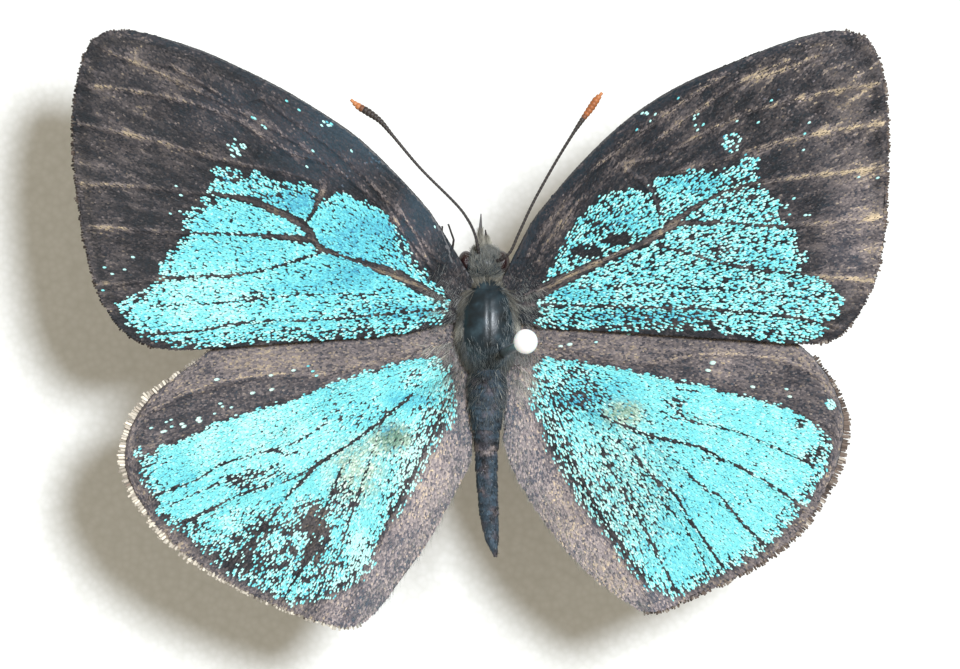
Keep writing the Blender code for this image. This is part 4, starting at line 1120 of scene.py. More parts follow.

# %% [markdown]
# ## Ground tones
# The forewings' ground is nearly black, with pale lines on the veins and a slate band along the front edge.
# The hindwings' is a greyish brown that turns pale along the inner edge, where a few single scales are
# painted bright as glints. Last come the soft shades that the lists ask for, on the left forewing partly a
# painted sheen, then a darker rim, and the tan lines, partly a painted highlight.

# %% Ground tones of a wing
def forewing_tones(wing, spots, at, chance):
    pattern = PATTERN[wing]
    off_blue = 1 - at.blue
    pale = strays(spots, pattern["pale"], chance)
    tone = 0.09 + 0.03 * at.speckle + 0.1 * at.streak + 0.05 * at.cloud + 0.05 * at.outer + 0.08 * at.dust
    tone += pattern["ground"] + 0.9 * pale - 0.1 * at.blue
    warm = 0.32 + 0.11 * at.hue + 0.16 * at.streak + 0.22 * at.cloud + 0.12 * at.outer + 0.14 * at.dust
    line = at.line * (0.35 + 0.65 * pattern["pale veins"]) * (0.4 + 0.6 * at.outer) * off_blue
    margin = pattern["pale veins"] * np.clip((at.away - 17) / 4, 0, 1)
    tone += 0.2 * at.lit * off_blue * (1 + margin) + 0.24 * line + 0.05 * margin
    warm += 0.28 * at.lit * off_blue + 0.45 * line + 0.1 * margin
    for drawn in pattern["dark"]:
        bare = np.clip(line_depth(spots, drawn) / 0.12, 0, 1)
        tone += 0.12 * bare
        warm += 0.2 * bare
    front = np.clip(2 - off_line(spots, OUTLINE[wing][COSTA]) / FRONT_WIDTH, 0, 1)
    return tone + (0.08 - 0.1 * at.lit) * front, warm - 0.2 * front


def hindwing_tones(wing, spots, at, chance):
    tone = 0.42 + 0.05 * at.speckle + 0.1 * at.streak + 0.09 * at.cloud + 0.14 * at.lit - 0.36 * at.blue
    warm = 0.57 + 0.14 * at.hue + 0.08 * at.streak + 0.12 * at.cloud + 0.06 * at.lit - 0.2 * at.blue
    for band in PATTERN[wing]["bands"]:
        within = np.clip(depth_inside(spots, band) / 0.25 + 0.4, 0, 1)
        tone -= 0.13 * within * (1 - at.blue)
        warm -= 0.12 * within
    near_inner = off_line(spots, OUTLINE[wing][INNER_EDGE[wing]])
    bright = np.clip(1.7 - near_inner / INNER_WIDTH, 0, 1) * (1 - at.blue)
    # painted glints: one scale in twenty near the inner edge is made much brighter
    tone += 0.58 * bright + 0.5 * bright * (chance.random(len(spots)) < 0.05)
    return tone, warm - 0.1 * bright


def ground_tones(wing, spots, directions, chance):
    """Tone and warmth of the ground scales."""
    at = marks_on(wing, spots, directions, chance)
    tones = forewing_tones if wing.startswith("fore") else hindwing_tones
    tone, warm = tones(wing, spots, at, chance)
    # shades: soft tone and warmth ovals; on the left forewing they are partly a painted sheen
    for x, y, half_across, half_down, lighter, warmer in PATTERN[wing]["shades"]:
        within = oval(spots, (x, y, half_across, half_down, 1.0))
        tone += lighter * within
        warm += warmer * within
    # the tan lines made lighter and warmer are partly the wing's own tan, partly a painted highlight
    return tone - 0.1 * at.rim + 0.22 * at.tan, warm + 0.4 * at.tan


print("tones for", len(PATTERN), "wings")

# %% [markdown]
# ## Growing the wings
# Ground scales cover the whole wing, and blue scales stand a little higher. Near the front edge both turn to
# lie along it. Real scales are about 0.05 by 0.1 mm. They are drawn about twice as large, at 0.1 by 0.17 mm,
# as finer ones would blur in a picture of the whole butterfly and make it too heavy to keep.

# %% Growing one wing
ROW_STEP, SCALE_STEP = 0.105, 0.082
GROUND_SIZE, GROUND_RISE = (0.165, 0.105), 0.012
BLUE_SIZE, BLUE_RISE = (0.168, 0.096), 0.045
MOST_OUTSIDE = 0.4  # how far beside the wing a seed may stand
OVERHANG = 0.16  # it stays only if its leaf's far end comes over the wing
ON_EDGE = 0.02  # a seed this little beside the wing stays anyhow
BARE_FRONT = 0.07  # none stands on the wing nearer the front edge than this
FRONT_CORNERS = slice(2, 12)  # those of COSTA but for the last
COSTA_PULL = 0.7


def along_costa(wing, spots, directions):
    """Near the front edge the scales turn to lie along it."""
    line = flowing(OUTLINE[wing][COSTA], EDGE_STEP)
    tangent = unit(np.gradient(line, axis=0))
    apart = np.linalg.norm(spots[:, None, :] - line[None, :, :], axis=2)
    nearest = np.argmin(apart, axis=1)
    pull = np.clip(1.3 - apart[np.arange(len(spots)), nearest] / COSTA_PULL, 0, 1)[:, None]
    return unit(directions * (1 - pull) + tangent[nearest] * pull)


def seeds_on_wing(wing, chance):
    """Seeds that land on a wing: flat spots and directions, then places, headings and up directions."""
    spots, directions = rows_round(PATTERN[wing]["root"], ROW_STEP, SCALE_STEP, chance)
    depth = depth_in_wing(wing, spots)
    from_front = off_line(spots, OUTLINE[wing][FRONT_CORNERS])
    wanted = (depth > -MOST_OUTSIDE) & ((from_front > BARE_FRONT) | (depth < 0))
    spots, directions, depth = spots[wanted], directions[wanted], depth[wanted]
    directions = along_costa(wing, spots, directions)
    over_wing = (depth > -ON_EDGE) | ~np.isnan(drop(wing, spots + OVERHANG * directions))
    spots, directions = spots[over_wing], directions[over_wing]
    landed, places, heading, up = settle(wing, spots, directions)
    return spots[landed], directions[landed], places, heading, up


def dress_wing(wing, seed):
    chance = np.random.default_rng(seed)
    pattern, fore = PATTERN[wing], wing.startswith("fore")
    spots, directions, places, heading, up = seeds_on_wing(wing, chance)
    count = len(spots)
    tone, warm = ground_tones(wing, spots, directions, chance)
    grow(wing + "_ground_scales", GROUND_LEAF, seeds_at(places + up * GROUND_RISE, heading, up, tone, warm),
         GROUND_SCALES, seed, GROUND_SIZE, (0.16, 0.1))

    share = blue_share(wing, spots)
    shown = fleck_luck(pattern["root"], spots, chance) < share
    lone = strays(spots, pattern["strays"], chance) & ~shown
    white = np.zeros(count, bool) if fore else strays(spots, pattern["pale"], chance)
    shown = shown | lone | white
    green = ovals(spots, pattern["green"])
    green = green * np.clip(0.8 + 0.7 * cloudy(spots, 0.5, 15.0) + chance.normal(0, 0.25, count), 0, 1.2)
    green[white] = 0.6
    lonely = np.clip(1 - share / 0.8, 0, 1)
    uneven = 0.07 + 0.16 * (1 - share) + 0.12 * np.clip(green, 0, 1)
    tone = pattern["brightness"] + 0.08 * cloudy(spots, 1.2, 5.0) + chance.normal(0, 1, count) * uneven
    tone += 0.25 * lonely - 0.5 * ovals(spots, pattern["deep"]) + 0.6 * white
    warm = green + chance.normal(0, 0.04, count)
    girth = np.clip(1.12 - 0.3 * lonely + 0.35 * lone + 0.8 * white, 0.7, 1.7)
    given = (places + up * BLUE_RISE, heading, up, tone, warm, girth, girth)
    grow(wing + "_blue_scales", SCALE_LEAF, seeds_at(*(each[shown] for each in given)), BLUE_SCALES,
         seed + 1, BLUE_SIZE, (0.1, 0.06))


for number, wing in enumerate(PATTERN):
    dress_wing(wing, 100 + 10 * number)

# %% [markdown]
# ## The underside
# Below, the wings carry plain grey-brown scales. They are seen only from the side or from below, so their
# rows are drawn coarser still, with scales of 0.24 by 0.34 mm.

# %% Underside scales
UNDER_ROW, UNDER_STEP = 0.24, 0.2
UNDER_SIZE = (0.34, 0.24)
UNDER_INSET = 0.34  # one leaf's length, so none sticks out beyond the edge


def dress_underside(wing, seed):
    chance = np.random.default_rng(seed)
    spots, directions = rows_round(PATTERN[wing]["root"], UNDER_ROW, UNDER_STEP, chance)
    on_wing = depth_in_wing(wing, spots) > UNDER_INSET
    spots, directions = spots[on_wing], directions[on_wing]
    landed, places, heading, up = settle(wing, spots, directions, side=-1)
    tone = 0.42 + chance.normal(0, 0.08, len(places)) + 0.12 * cloudy(spots[landed], 1.5, 31.0)
    grow(wing + "_underside_scales", GROUND_LEAF, seeds_at(places, heading, up, tone, 0.5), UNDER_SCALES,
         seed, UNDER_SIZE, (0.14, 0.08), turn=0.1)


for number, wing in enumerate(PATTERN):
    dress_underside(wing, 200 + number)

# %% [markdown]
# ## The fringe
# The outer edge of each wing carries a comb of long flat scales that point outwards, in two layers, the lower
# one painted darker as shade under the upper. On the left hindwing they are cream, broken by brown at the
# ends of the veins. On the other wings they are brown and worn short in places. There are fewer and broader
# ones here than on a real wing.

# %% Fringe
FRINGE = {
    # wing: first and last corner of its edge, step and length in mm, tone, warmth, how uneven the tufts are
    "forewing_left": (12, 23, 0.125, 0.16, 0.1, 0.2, 0.5),
    "forewing_right": (12, 22, 0.125, 0.17, 0.2, 0.35, 0.5),
    "hindwing_left": (6, 19, 0.19, 0.32, 0.38, 0.86, 0.34),
    "hindwing_right": (7, 18, 0.125, 0.28, 0.26, 0.4, 0.5),
}
FRINGE_LAYERS = ((0.16, 0.0, 0.0), (0.08, 0.08, 0.5))  # how far inside the edge, how much lower, which step
FRINGE_ROOT, FRINGE_WIDTH = 0.14, 0.12
UPWARDS = np.array((0.0, 0.0, 1.0))


def outward_from(edge, wing):
    """Directions square to a wing's edge, away from the middle of the wing."""
    along = unit(np.gradient(edge, axis=0))
    square = np.stack([along[:, 1], -along[:, 0]], axis=1)
    inward = np.mean(np.array(OUTLINE[wing]), axis=0) - edge
    return np.where(np.sum(square * inward, axis=1, keepdims=True) > 0, -square, square)


def fringe(wing, seed):
    chance = np.random.default_rng(seed)
    first, last, step, length, tone, warm, uneven = FRINGE[wing]
    layers = []
    for inset, deeper, offset in FRINGE_LAYERS:
        edge = flowing(OUTLINE[wing][first : last + 1], step)
        edge = edge[:-1] + offset * np.diff(edge, axis=0)
        outward = outward_from(edge, wing)
        edge = edge - outward * inset + chance.normal(0, 0.02, edge.shape)
        heights = drop(wing, edge) - (0.02 + deeper)
        share = np.linspace(0, 1, len(edge))
        layers.append(np.column_stack([edge, heights, outward, share, np.full(len(edge), deeper)]))
    found = np.vstack(layers)
    found = found[~np.isnan(found[:, 2])]
    places, outward, share, deeper = found[:, :3], found[:, 3:5], found[:, 5], found[:, 6]
    whole = np.interp(share, (0, 0.12, 0.22, 0.55, 0.75, 1), (0.1, 0.5, 1, 1, 0.6, 0.4))
    count = len(places)
    heading = unit(np.column_stack([outward, chance.normal(-0.1, 0.08, count)]))
    tufts = uneven * cloudy(places[:, :2], 0.35, 41.0)
    # painted shade: the lower layer's tone is cut, as it lies under the upper one
    light = tone * (0.5 + 0.5 * whole + tufts - 5 * deeper) + chance.normal(0, 0.04, count)
    hue = warm + 0.8 * tufts + chance.normal(0, 0.08, count)
    reach = np.clip(0.5 + 0.5 * whole + 0.6 * tufts, 0.4, 1.3)
    seeds = seeds_at(places, heading, upright(heading, UPWARDS), light, hue, reach)
    grow(wing + "_fringe", FRINGE_LEAF, seeds, FRINGE_SCALES, seed,
         (length + FRINGE_ROOT, FRINGE_WIDTH), (0.0, 0.08))


for number, wing in enumerate(FRINGE):
    fringe(wing, 300 + number)

# %% [markdown]
# ## Body finishes
# The middle of the back is a bald plate of dark cuticle, hard and half glossy, with fine pits. The eyes are
# dark red-brown. Their facets are about 0.02 mm and are drawn at 0.05 mm, as finer ones would only blur.
# Legs, palps and tongue are dark horn. Hair is paler towards its tip, blue-grey or olive brown.

# %% Body finishes
def make_hair():
    made, tree, base, tone, warm, _, along = leaf_finish("body hair, fine chitin", 0.55)
    grey = ((0.0, "#262F36"), (0.35, "#4F5C65"), (0.65, "#868E90"), (1.0, "#DDDDD8"))
    olive = ((0.0, "#2B2824"), (0.35, "#5C5447"), (0.65, "#8B8270"), (1.0, "#DAD3BF"))
    hue = two_hues(tree, tone, warm, grey, olive)
    paler = add(tree, "ShaderNodeMapRange", {0: along, 1: 0.0, 2: 1.0, 3: 0.6, 4: 1.25}).outputs[0]
    done = add(tree, "ShaderNodeVectorMath", {0: hue, "Scale": paler}, operation="SCALE").outputs[0]
    tree.links.new(done, base)
    return made


HAIR = make_hair()
CUTICLE = pitted("insect cuticle, dark chitin", 0.36, 0.09, 0.012, 0.3, (0.35, "#0A1318"), (0.55, "#18272F"),
                 (0.75, "#354851"), cloud=0.7)
EYE = pitted("compound eye, glassy cuticle", 0.25, 0.05, 0.015, 1.0, (0.0, "#38191B"), (0.7, "#170C0D"),
             stray=0.3, domed=True)
HORN = clouded("feeler and leg horn, dark chitin", 0.45, 0.12, (0.3, "#1E1B1C"), (0.7, "#3A3331"), detail=3.0)
horny = [node for name, node in nodes.items() if "leg" in name or "palp" in name or name == "tongue"]
for node in horny:
    node.material_slots[0].material = HORN
print(HORN.name, "on", len(horny), "solids")

# %% [markdown]
# ## Round body pieces
# The chest, head, eyes and pin ball are balls pulled to shape. Each is a net of rings round the body's long
# line, so that grooves can be pressed in by moving its points. They take the place of the plainer solids.

# %% Round body pieces
def body_piece(name, spots, faces, finish, slot, node):
    """A smooth piece from points in millimetres that stands for one solid."""
    piece = put_mesh(name, (np.array(spots) * MM).tolist(), faces)
    piece.data.materials.append(finish)
    piece.data.shade_smooth()
    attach(piece, BODY)
    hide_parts(node)
    print(name, len(faces), "faces")
    return piece


def ball(centre, half, around, along, press=None):
    """Points and faces of a ball, its poles front and back. `press` changes its reach."""
    directions = [(0.0, 1.0, 0.0)]
    for i in range(1, along):
        bow = math.pi * i / along
        directions += [(math.sin(bow) * x, math.cos(bow), math.sin(bow) * z) for x, z in ring(around)]
    directions = np.array(directions + [(0.0, -1.0, 0.0)])
    reach = press(directions) if press else np.ones(len(directions))
    faces = [(0, 1 + (j + 1) % around, 1 + j) for j in range(around)] + net(along - 1, around, first=1)
    last, end = 1 + (along - 2) * around, len(directions) - 1
    faces += [(last + j, last + (j + 1) % around, end) for j in range(around)]
    return np.array(centre) + directions * np.array(half) * reach[:, None], faces


def filling(node):
    """The centre and half sizes of a solid."""
    low, high = (np.array(corner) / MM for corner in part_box(node))
    return (low + high) / 2, (high - low) / 2


def press_thorax(d):
    """The back's middle line, the arc behind it, the neck fold and the shoulder flaps."""
    x, y, z = d.T
    top = np.clip(z, 0, 1)
    reach = 1 - 0.022 * groove(x, 0.05) * top * (y > -0.5)
    reach -= 0.05 * groove(y + 0.6 - 0.25 * x * x, 0.05) * top
    reach -= 0.04 * groove(y - 0.8, 0.05)
    reach += 0.05 * groove(np.hypot(np.abs(x) - 0.75, y - 0.45), 0.22)
    lumps = np.array([noise.fractal(tuple(4 * v), 1.0, 2.0, 3) for v in d])
    return reach + 0.008 * lumps


THORAX_CENTRE, THORAX_HALF = (0.4, 0.35, 28.3), (1.5, 2.55, 1.5)
HEAD_CENTRE, HEAD_HALF = (0.2, 3.55, 28.05), (1.05, 0.88, 0.85)
thorax = body_piece("thorax_plate", *ball(THORAX_CENTRE, THORAX_HALF, 96, 72, press_thorax), CUTICLE,
                    "body_cuticle", "thorax")
head = body_piece("head_capsule", *ball(HEAD_CENTRE, HEAD_HALF, 64, 40), CUTICLE, "body_cuticle", "head")
for name in ("eye_left", "eye_right"):
    body_piece(name + "_facets", *ball(*filling(name), 48, 32), EYE, "eye", name)
body_piece("pin_ball", *ball(*filling("pin_head"), 64, 40), NYLON, "white_nylon", "pin_head")

# %% [markdown]
# ## The abdomen
# The abdomen is a row of nine stiff rings joined by soft skin, each ring's back edge slipped over the next
# like a telescope. It tapers and sags towards its tip.

# %% Abdomen
ABDOMEN_PATH = (
    (0.4, -1.6, 28.3), (0.34, -4.0, 28.3), (0.34, -7.0, 28.15), (0.48, -9.2, 28.05), (0.62, -10.4, 28.0),
    (0.78, -11.1, 28.0),
)
ABDOMEN_SHARE = (
    (0.0, 0.82), (0.12, 1.0), (0.24, 0.86), (0.35, 0.68), (0.45, 0.58), (0.6, 0.53), (0.8, 0.46),
    (0.92, 0.34),
    (1.0, 0.1),
)
ABDOMEN_LENGTH, ABDOMEN_HALF, ABDOMEN_RINGS = 9.5, 0.98, 9


def abdomen_net(around=56, per_ring=9):
    path = flowing(ABDOMEN_PATH, ABDOMEN_LENGTH / (ABDOMEN_RINGS * per_ring))
    share = np.linspace(0, 1, len(path))
    width = ABDOMEN_HALF * np.interp(share, *zip(*ABDOMEN_SHARE))
    width *= 0.95 + 0.07 * (share * ABDOMEN_RINGS % 1)
    spots = []
    for (x, y, z), reach in zip(path, width):
        spots += [(x + reach * across, y, z + reach * rise) for across, rise in ring(around)]
    ends = [tuple(reversed(range(around))), tuple(range(len(spots) - around, len(spots)))]
    return spots, net(len(path), around) + ends


abdomen = body_piece("abdomen_rings", *abdomen_net(), CUTICLE, "body_cuticle", "abdomen")

# %% [markdown]
# ## Feelers
# A feeler is a string of beads: some forty joints, each a little cup that holds the next, with a pale ring at
# its foot. Towards the end the beads swell into a club of burnt orange. They are grown with the same tree,
# one bead per seed, each as long as its step along the path.

# %% Feelers
BEAD_STEP = 0.2
BEAD_WIDTH = 0.15
ANTENNA = {
    "antenna_left": (
        (0.0, 3.8, 28.5), (-0.1, 4.3, 28.95), (-0.25, 5.0, 29.05), (-0.6, 5.75, 29.2), (-1.25, 6.6, 29.35),
        (-3.0, 8.35, 29.6), (-4.4, 10.0, 29.8), (-5.0, 10.7, 29.85), (-5.6, 11.15, 29.9),
        (-6.1, 11.45, 29.9),
        (-6.45, 11.75, 29.9),
    ),
    "antenna_right": (
        (0.6, 3.65, 28.5), (1.0, 3.78, 28.98), (1.5, 4.15, 29.1), (1.95, 5.1, 29.2), (2.7, 6.7, 29.4),
        (3.75, 8.6, 29.6), (4.6, 10.0, 29.8), (5.1, 10.75, 29.85), (5.5, 11.3, 29.9), (5.8, 11.75, 29.9),
        (6.0, 12.0, 29.9),
    ),
}
ANTENNA_SHARE = (1.3, 1.2, 1.0, 1.0, 1.0, 1.0, 1.15, 1.9, 2.7, 2.6, 1.1)  # its width at each of these points
FEELER_TONES = {
    "antenna_left": ((0.0, 0.0), (0.8, 0.1), (0.93, 0.3), (0.96, 0.9), (1.0, 1.0)),
    "antenna_right": ((0.0, 0.0), (0.82, 0.1), (0.88, 0.75), (0.94, 0.7), (1.0, 0.95)),
}


def bead(name, around, rows):
    spots, marks = [], []
    for i in range(rows + 1):
        t = i / rows
        reach = 0.5 * (0.86 + 0.14 * math.sin(math.pi * min(1.0, t * 1.15)))
        spots += [(reach * x, t, reach * z) for x, z in ring(around)]
        marks += [(2 * j / around - 1, t) for j in range(around)]
    ends = [tuple(range(around)), tuple(reversed(range(rows * around, (rows + 1) * around)))]
    return leaf_object(name, spots, net(rows + 1, around, flip=True) + ends, marks)


def make_feeler_finish():
    made, tree, base, tone, _, _, along = leaf_finish("feeler joint, scaled horn", 0.5)
    stops = ((0.0, "#241F20"), (0.45, "#3A2E2A"), (0.75, "#A8602F"), (1.0, "#C98350"))
    hue = add(tree, "ShaderNodeValToRGB", {"Fac": tone}, stops=stops).outputs["Color"]
    foot = add(tree, "ShaderNodeMapRange", {0: along, 1: 0.05, 2: 0.2, 3: 0.3, 4: 0.0}).outputs[0]
    done = add(tree, "ShaderNodeMix", {0: foot, 6: hue, 7: colour("#B9AFA2")}, data_type="RGBA").outputs[2]
    tree.links.new(done, base)
    return made


BEAD_LEAF, FEELER = bead("bead leaf", 12, 4), make_feeler_finish()
for number, (name, points) in enumerate(ANTENNA.items()):
    path = flowing(points, BEAD_STEP)
    lengths = np.concatenate([[0], np.cumsum(np.linalg.norm(np.diff(np.array(points), axis=0), axis=1))])
    share = np.linspace(0, 1, len(path))
    girth = np.interp(share, lengths / lengths[-1], ANTENNA_SHARE)
    heading = unit(np.gradient(path, axis=0))
    tone = np.interp(share, *zip(*FEELER_TONES[name]))
    seeds = seeds_at(path, heading, upright(heading, UPWARDS), tone, 0.0, girth=girth)
    beads = grow(name + "_beads", BEAD_LEAF, seeds, FEELER, 400 + number,
                 (BEAD_STEP, BEAD_WIDTH), turn=0.0, uneven=0.0)
    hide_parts(name)

# %% [markdown]
# ## Hair
# Hair grows thick on the sides of the chest, round the neck, on the head and palps, over the first rings of
# the abdomen and along the hindwings' inner edges. It hides every joint of a butterfly, so nothing looks more
# like plastic than leaving it out. Seeds are thrown on each piece's own faces, and each hair is combed to lie
# along a flow on the surface. There are fewer and thicker hairs here than on a real body.

# %% Throwing seeds on a piece
def scatter(obj, count, chance, steeper=None):
    """Random places on a mesh in millimetres, evenly by area, with the surface's own direction there.
    With `steeper`, only faces that look sideways, whose upward share is below it."""
    mesh = obj.data
    mesh.calc_loop_triangles()
    corners = np.empty(len(mesh.vertices) * 3, np.float32)
    mesh.vertices.foreach_get("co", corners)
    corners = corners.reshape(-1, 3) / MM
    triangles = np.empty(len(mesh.loop_triangles) * 3, np.int32)
    mesh.loop_triangles.foreach_get("vertices", triangles)
    a, b, c = (corners[triangles.reshape(-1, 3)[:, k]] for k in range(3))
    cross = np.cross(b - a, c - a)
    area = np.linalg.norm(cross, axis=1)
    if steeper:
        area = area * (np.abs(unit(cross)[:, 2]) < steeper)
    chosen = chance.choice(len(area), count, p=area / area.sum())
    u, v = chance.random(count), chance.random(count)
    over = u + v > 1
    u[over], v[over] = 1 - u[over], 1 - v[over]
    spots = a[chosen] + u[:, None] * (b - a)[chosen] + v[:, None] * (c - a)[chosen]
    return spots, unit(cross)[chosen]


def combed(outward, flow):
    """Headings that follow a flow, laid flat on the surface."""
    return unit(upright(outward, flow) + 1e-6)


def comb(name, spots, outward, flow, tone, warm, reach, seed, size, lift=(0.35, 0.2)):
    """Grows hair that lies along the flow and stands off the surface a little."""
    seeds = seeds_at(spots, combed(outward, flow), outward, tone, warm, reach)
    return grow(name, HAIR_LEAF, seeds, HAIR, seed, size, lift, turn=0.35, uneven=0.25)


tried = scatter(head, 1000, np.random.default_rng(1))[1]
print("of 1000 seeds on the head,", int((tried[:, 2] > 0).sum()), "look up")

# %% [markdown]
# ## Hair on the chest and the head
# On the chest the hair leaves a bald plate free in the middle, with a white tuft at each shoulder. What is
# left of the short scales of the back lies behind and to the right. The head's hair stands forward between
# the eyes, and the palps carry a brush.

# %% Hair on the chest and the head
def on_thorax(spots):
    """Places across and along the chest, one at its edges."""
    return ((spots[:, :2] - THORAX_CENTRE[:2]) / THORAX_HALF[:2]).T


def chest_hair(seed=500):
    chance = np.random.default_rng(seed)
    spots, outward = scatter(thorax, 12000, chance)
    x, y = on_thorax(spots)
    off_plate = np.clip((np.hypot(x / 0.8, y / 0.84) - 0.97) / 0.14, 0, 1)
    keep = chance.random(len(spots)) < off_plate * (outward[:, 2] > -0.6)
    spots, outward, x, y = spots[keep], outward[keep], x[keep], y[keep]
    flow = np.stack([0.9 * x, np.where(y > 0.75, 0.4, -1.0), 0 * x], axis=1)
    white = ovals(spots, ((-1.15, 0.4, 0.5, 0.5, 0.9), (1.9, 0.5, 0.5, 0.5, 0.9)))
    tone = 0.5 + 0.15 * chance.normal(0, 1, len(spots)) + 0.2 * (y > 0.78) + 0.5 * white
    warm = 0.3 + 0.4 * np.clip(y + 0.3, 0, 1) + 0.2 * chance.normal(0, 1, len(spots))
    comb("thorax_hair", spots, outward, flow, tone, warm, 1.0, seed, (0.6, 0.018),
         (0.25, 0.2))


def plate_scales(seed=505):
    chance = np.random.default_rng(seed)
    spots, outward = scatter(thorax, 12000, chance)
    x, y = on_thorax(spots)
    cover = np.clip(-1.8 * y - 0.25, 0, 1) + np.clip(1.4 * x - 0.45, 0, 0.4)
    cover *= np.clip(0.8 + cloudy(spots[:, :2], 0.6, 51.0), 0, 1.2)
    crumbs = oval(spots, (0.62, 0.75, 0.45, 0.7, 0.12))
    keep = (chance.random(len(spots)) < np.maximum(0.9 * cover, crumbs)) & (outward[:, 2] > 0)
    spots, outward, crumbs = spots[keep], outward[keep], crumbs[keep]
    flow = (0.1, -1.0, 0.0) + chance.normal(0, 0.25, spots.shape)
    tone = 0.5 + 0.16 * chance.normal(0, 1, len(spots)) + 4 * crumbs
    comb("thorax_scales", spots, outward, flow, tone, 0.0, 1 - 4 * crumbs, seed, (0.3, 0.024),
         (0.15, 0.12))


def head_hair(seed=510):
    chance = np.random.default_rng(seed)
    spots, outward = scatter(head, 4800, chance)
    aside = spots[:, 0] - HEAD_CENTRE[0]
    keep = (outward[:, 2] > -0.5) & (aside > -0.66) & (aside < 0.85)
    spots, outward = spots[keep], outward[keep]
    flow = (0.0, 1.0, 0.2) + chance.normal(0, 0.4, spots.shape)
    tone = 0.63 + 0.14 * chance.normal(0, 1, len(spots))
    warm = 0.35 + 0.25 * chance.normal(0, 1, len(spots))
    comb("head_hair", spots, outward, flow, tone, warm, 1.0, seed, (0.36, 0.016), (0.5, 0.2))


def palp_hair(name, seed):
    chance = np.random.default_rng(seed)
    spots, outward = scatter(nodes[name], 700, chance)
    from_tip = (spots[:, 1].max() - spots[:, 1]) / np.ptp(spots[:, 1])
    keep = from_tip > 0.45
    spots, outward, from_tip = spots[keep], outward[keep], from_tip[keep]
    flow = (0.0, 1.0, 0.1) + chance.normal(0, 0.3, spots.shape)
    tone = 0.35 + 0.45 * from_tip + 0.2 * chance.random(len(spots))
    comb(name + "_hair", spots, outward, flow, tone, 0.7, 0.5 + from_tip, seed, (0.22, 0.016))


chest_hair()
plate_scales()
head_hair()
palp_hair("palp_left", 520)
palp_hair("palp_right", 521)

# %% [markdown]
# ## Scales round the wings' edges
# Rays from above and below miss the narrow side faces of a wing, where scales wrap round the edge. So seeds
# are thrown on those faces alone.

# %% Scales round the wings' edges
EDGE_SIZE = (0.19, 0.125)
EDGE_BAND = 0.15  # how far inside the outline a side face may lie


def edge_scales(wing, seed):
    chance = np.random.default_rng(seed)
    spots, outward = scatter(nodes[wing], 3000, chance, steeper=0.8)
    rim = depth_in_wing(wing, spots[:, :2]) < EDGE_BAND
    spots, outward = spots[rim], outward[rim]
    flow = np.column_stack([spots[:, :2] - np.array(PATTERN[wing]["root"]), np.zeros(len(spots))])
    base, warm = (0.08, 0.25) if wing.startswith("fore") else (0.34, 0.55)
    tone = base + 0.06 * chance.normal(0, 1, len(spots))
    seeds = seeds_at(spots, combed(outward, unit(flow)), outward, tone, warm)
    grow(wing + "_edge_scales", GROUND_LEAF, seeds, GROUND_SCALES, seed, EDGE_SIZE,
         (0.08, 0.06))


for number, wing in enumerate(PATTERN):
    edge_scales(wing, 700 + number)

# %% [markdown]
# ## Scales and hair on the abdomen
# Each ring of the abdomen is shingled with flat scales, paler over one half of the ring, with brown patches
# and a bald one. Long hair lies over the first rings, thinning out behind them.

# %% Scales and hair on the abdomen
RING_STEP = 1.06  # from ring to ring
ABDOMEN_START = 1.6  # how far behind the pin the first ring begins
BACKWARDS = np.array((0.0, -1.0, 0.0))


def abdomen_scales(spots, outward, chance, seed):
    count = len(spots)
    band = 0.5 + 0.5 * np.cos((spots[:, 1] + ABDOMEN_START) / RING_STEP * 2 * math.pi)
    mottle, brown = cloudy(spots[:, :2], 0.45, 61.0), np.clip(cloudy(spots[:, :2], 0.5, 67.0), 0, 1)
    bald = oval(spots, (0.3, -5.6, 0.9, 0.7, 1.0))
    tone = 0.36 + 0.13 * chance.normal(0, 1, count) + 0.3 * band + 0.5 * mottle - 0.2 * bald - 0.2 * brown
    tone += 0.6 * (chance.random(count) < 0.03)
    seeds = seeds_at(spots, combed(outward, BACKWARDS), outward, tone, 0.06 + 0.28 * bald + 0.6 * brown)
    grow("abdomen_scales", GROUND_LEAF, seeds, GROUND_SCALES, seed, (0.2, 0.12), (0.18, 0.12),
         turn=0.25, uneven=0.2)


def abdomen_hair(spots, outward, chance, seed):
    thick = np.clip((spots[:, 1] + 5.3) / 2, 0, 1)
    keep = (chance.random(len(spots)) < np.maximum(0.4 * thick, 0.14)) & (outward[:, 2] > -0.5)
    spots, outward, thick = spots[keep], outward[keep], thick[keep]
    flow = BACKWARDS + chance.normal(0, 0.3, spots.shape)
    flow[:, 0] += 0.5 * outward[:, 0]
    tone = 0.5 + 0.16 * chance.normal(0, 1, len(spots)) + 0.12 * cloudy(spots[:, :2], 0.5, 63.0)
    tone += (0.2 + 0.4 * cloudy(spots[:, :2], 0.4, 65.0)) * (thick == 0)
    comb("abdomen_hair", spots, outward, flow, tone, 0.25, 0.35 + 0.65 * thick, seed,
         (0.55, 0.018), (0.2, 0.2))


chance = np.random.default_rng(530)
spots, outward = scatter(abdomen, 9000, chance)
abdomen_scales(spots, outward, chance, 530)
abdomen_hair(spots, outward, chance, 531)

# %% [markdown]
# ## Hair at the wing roots and inner edges
# Fine hair spreads from the body over each wing's root and lies along the hindwings' inner edges, where a
# butterfly folds them round its abdomen. A few long white hairs stand beside the abdomen.

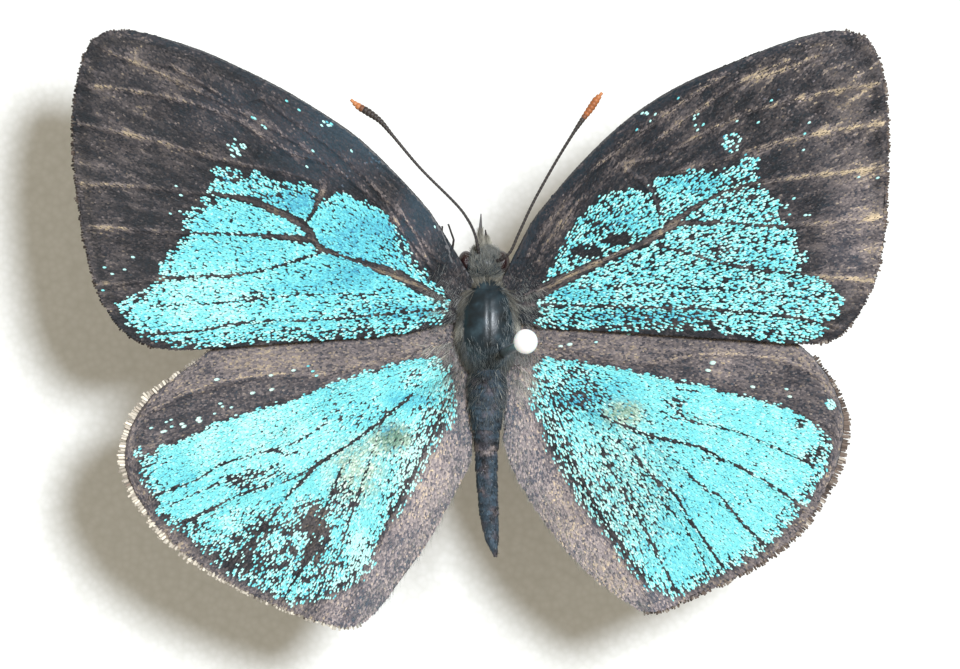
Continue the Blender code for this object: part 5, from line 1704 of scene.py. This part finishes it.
# %% Hair at the wing roots and inner edges
ROOT_HAIR = {
    # wing: centre of the patch, its half sizes, number, length, direction
    "forewing_left": ((-1.6, 1.6), (1.2, 1.6), 700, 0.9, (-0.6, -0.8)),
    "forewing_right": ((2.2, 1.7), (1.1, 1.6), 700, 0.9, (0.6, -0.8)),
    "hindwing_left": ((-1.3, -1.6), (1.3, 2.4), 1300, 1.2, (-0.35, -1.0)),
    "hindwing_right": ((2.0, -1.6), (1.2, 2.4), 1300, 1.2, (0.35, -1.0)),
}
INNER_COUNT, INNER_LENGTH, INNER_SPREAD = 2600, 0.9, 0.75
PALE_TUFTS = {
    "hindwing_left": ((-2.1, -0.7, 0.8, 0.5, 0.6), (-1.7, -3.4, 0.5, 1.6, 0.4)),
    "hindwing_right": ((2.4, -2.5, 0.7, 1.2, 0.6), (2.3, -4.6, 0.5, 1.4, 0.3)),
}
TUFT_HAIRS = 26


def wing_hair(wing, seed):
    chance = np.random.default_rng(seed)
    centre, half, number, length, direction = ROOT_HAIR[wing]
    spots = np.array(centre) + chance.normal(0, 0.5, (number, 2)) * np.array(half)
    reach = np.full(number, length)
    directions = np.tile(np.array(direction), (number, 1))
    if wing in INNER_EDGE:
        edge = flowing(OUTLINE[wing][INNER_EDGE[wing]], 0.02)
        outward, backwards = outward_from(edge, wing), -unit(np.gradient(edge, axis=0))
        picked = chance.integers(0, len(edge), INNER_COUNT)
        inset = np.abs(chance.normal(0, INNER_SPREAD, INNER_COUNT))[:, None]
        spots = np.vstack([spots, edge[picked] - outward[picked] * inset])
        reach = np.concatenate([reach, np.full(INNER_COUNT, INNER_LENGTH)])
        directions = np.vstack([directions, backwards[picked] + 0.25 * outward[picked]])
    directions = unit(directions + chance.normal(0, 0.15, directions.shape))
    landed, places, heading, up = settle(wing, spots, directions)
    tufts = PALE_TUFTS.get(wing, ())
    tone = 0.7 + 0.14 * chance.normal(0, 1, len(places)) + ovals(places, tufts)
    comb(wing + "_hair", places, up, heading, tone, 0.25, reach[landed], seed, (0.7, 0.014),
         (0.06, 0.06))
    if tufts:
        x, y, half_x, half_y, _ = tufts[0]
        spots = np.array((x, y)) + chance.uniform(-0.8, 0.8, (TUFT_HAIRS, 2)) * (half_x, half_y)
        lean = unit(np.array(direction) * (2.2, 0.6) + chance.normal(0, 0.3, (TUFT_HAIRS, 2)))
        places, heading, up = settle(wing, spots, lean)[1:]
        comb(wing + "_pale_tuft", places, up, heading, 0.95, 0.5, chance.uniform(0.4, 1.0, len(places)),
             seed + 50, (0.8, 0.045), (0.2, 0.2))


for number, wing in enumerate(ROOT_HAIR):
    wing_hair(wing, 600 + number)

# %% [markdown]
# ## Clear away the leaf shapes
# The small leaf shapes were only patterns for the tree. Every piece now holds real mesh, so they can go.

# %% Clear away the leaf shapes
for leaf in LEAVES + [BEAD_LEAF]:
    bpy.data.objects.remove(leaf)
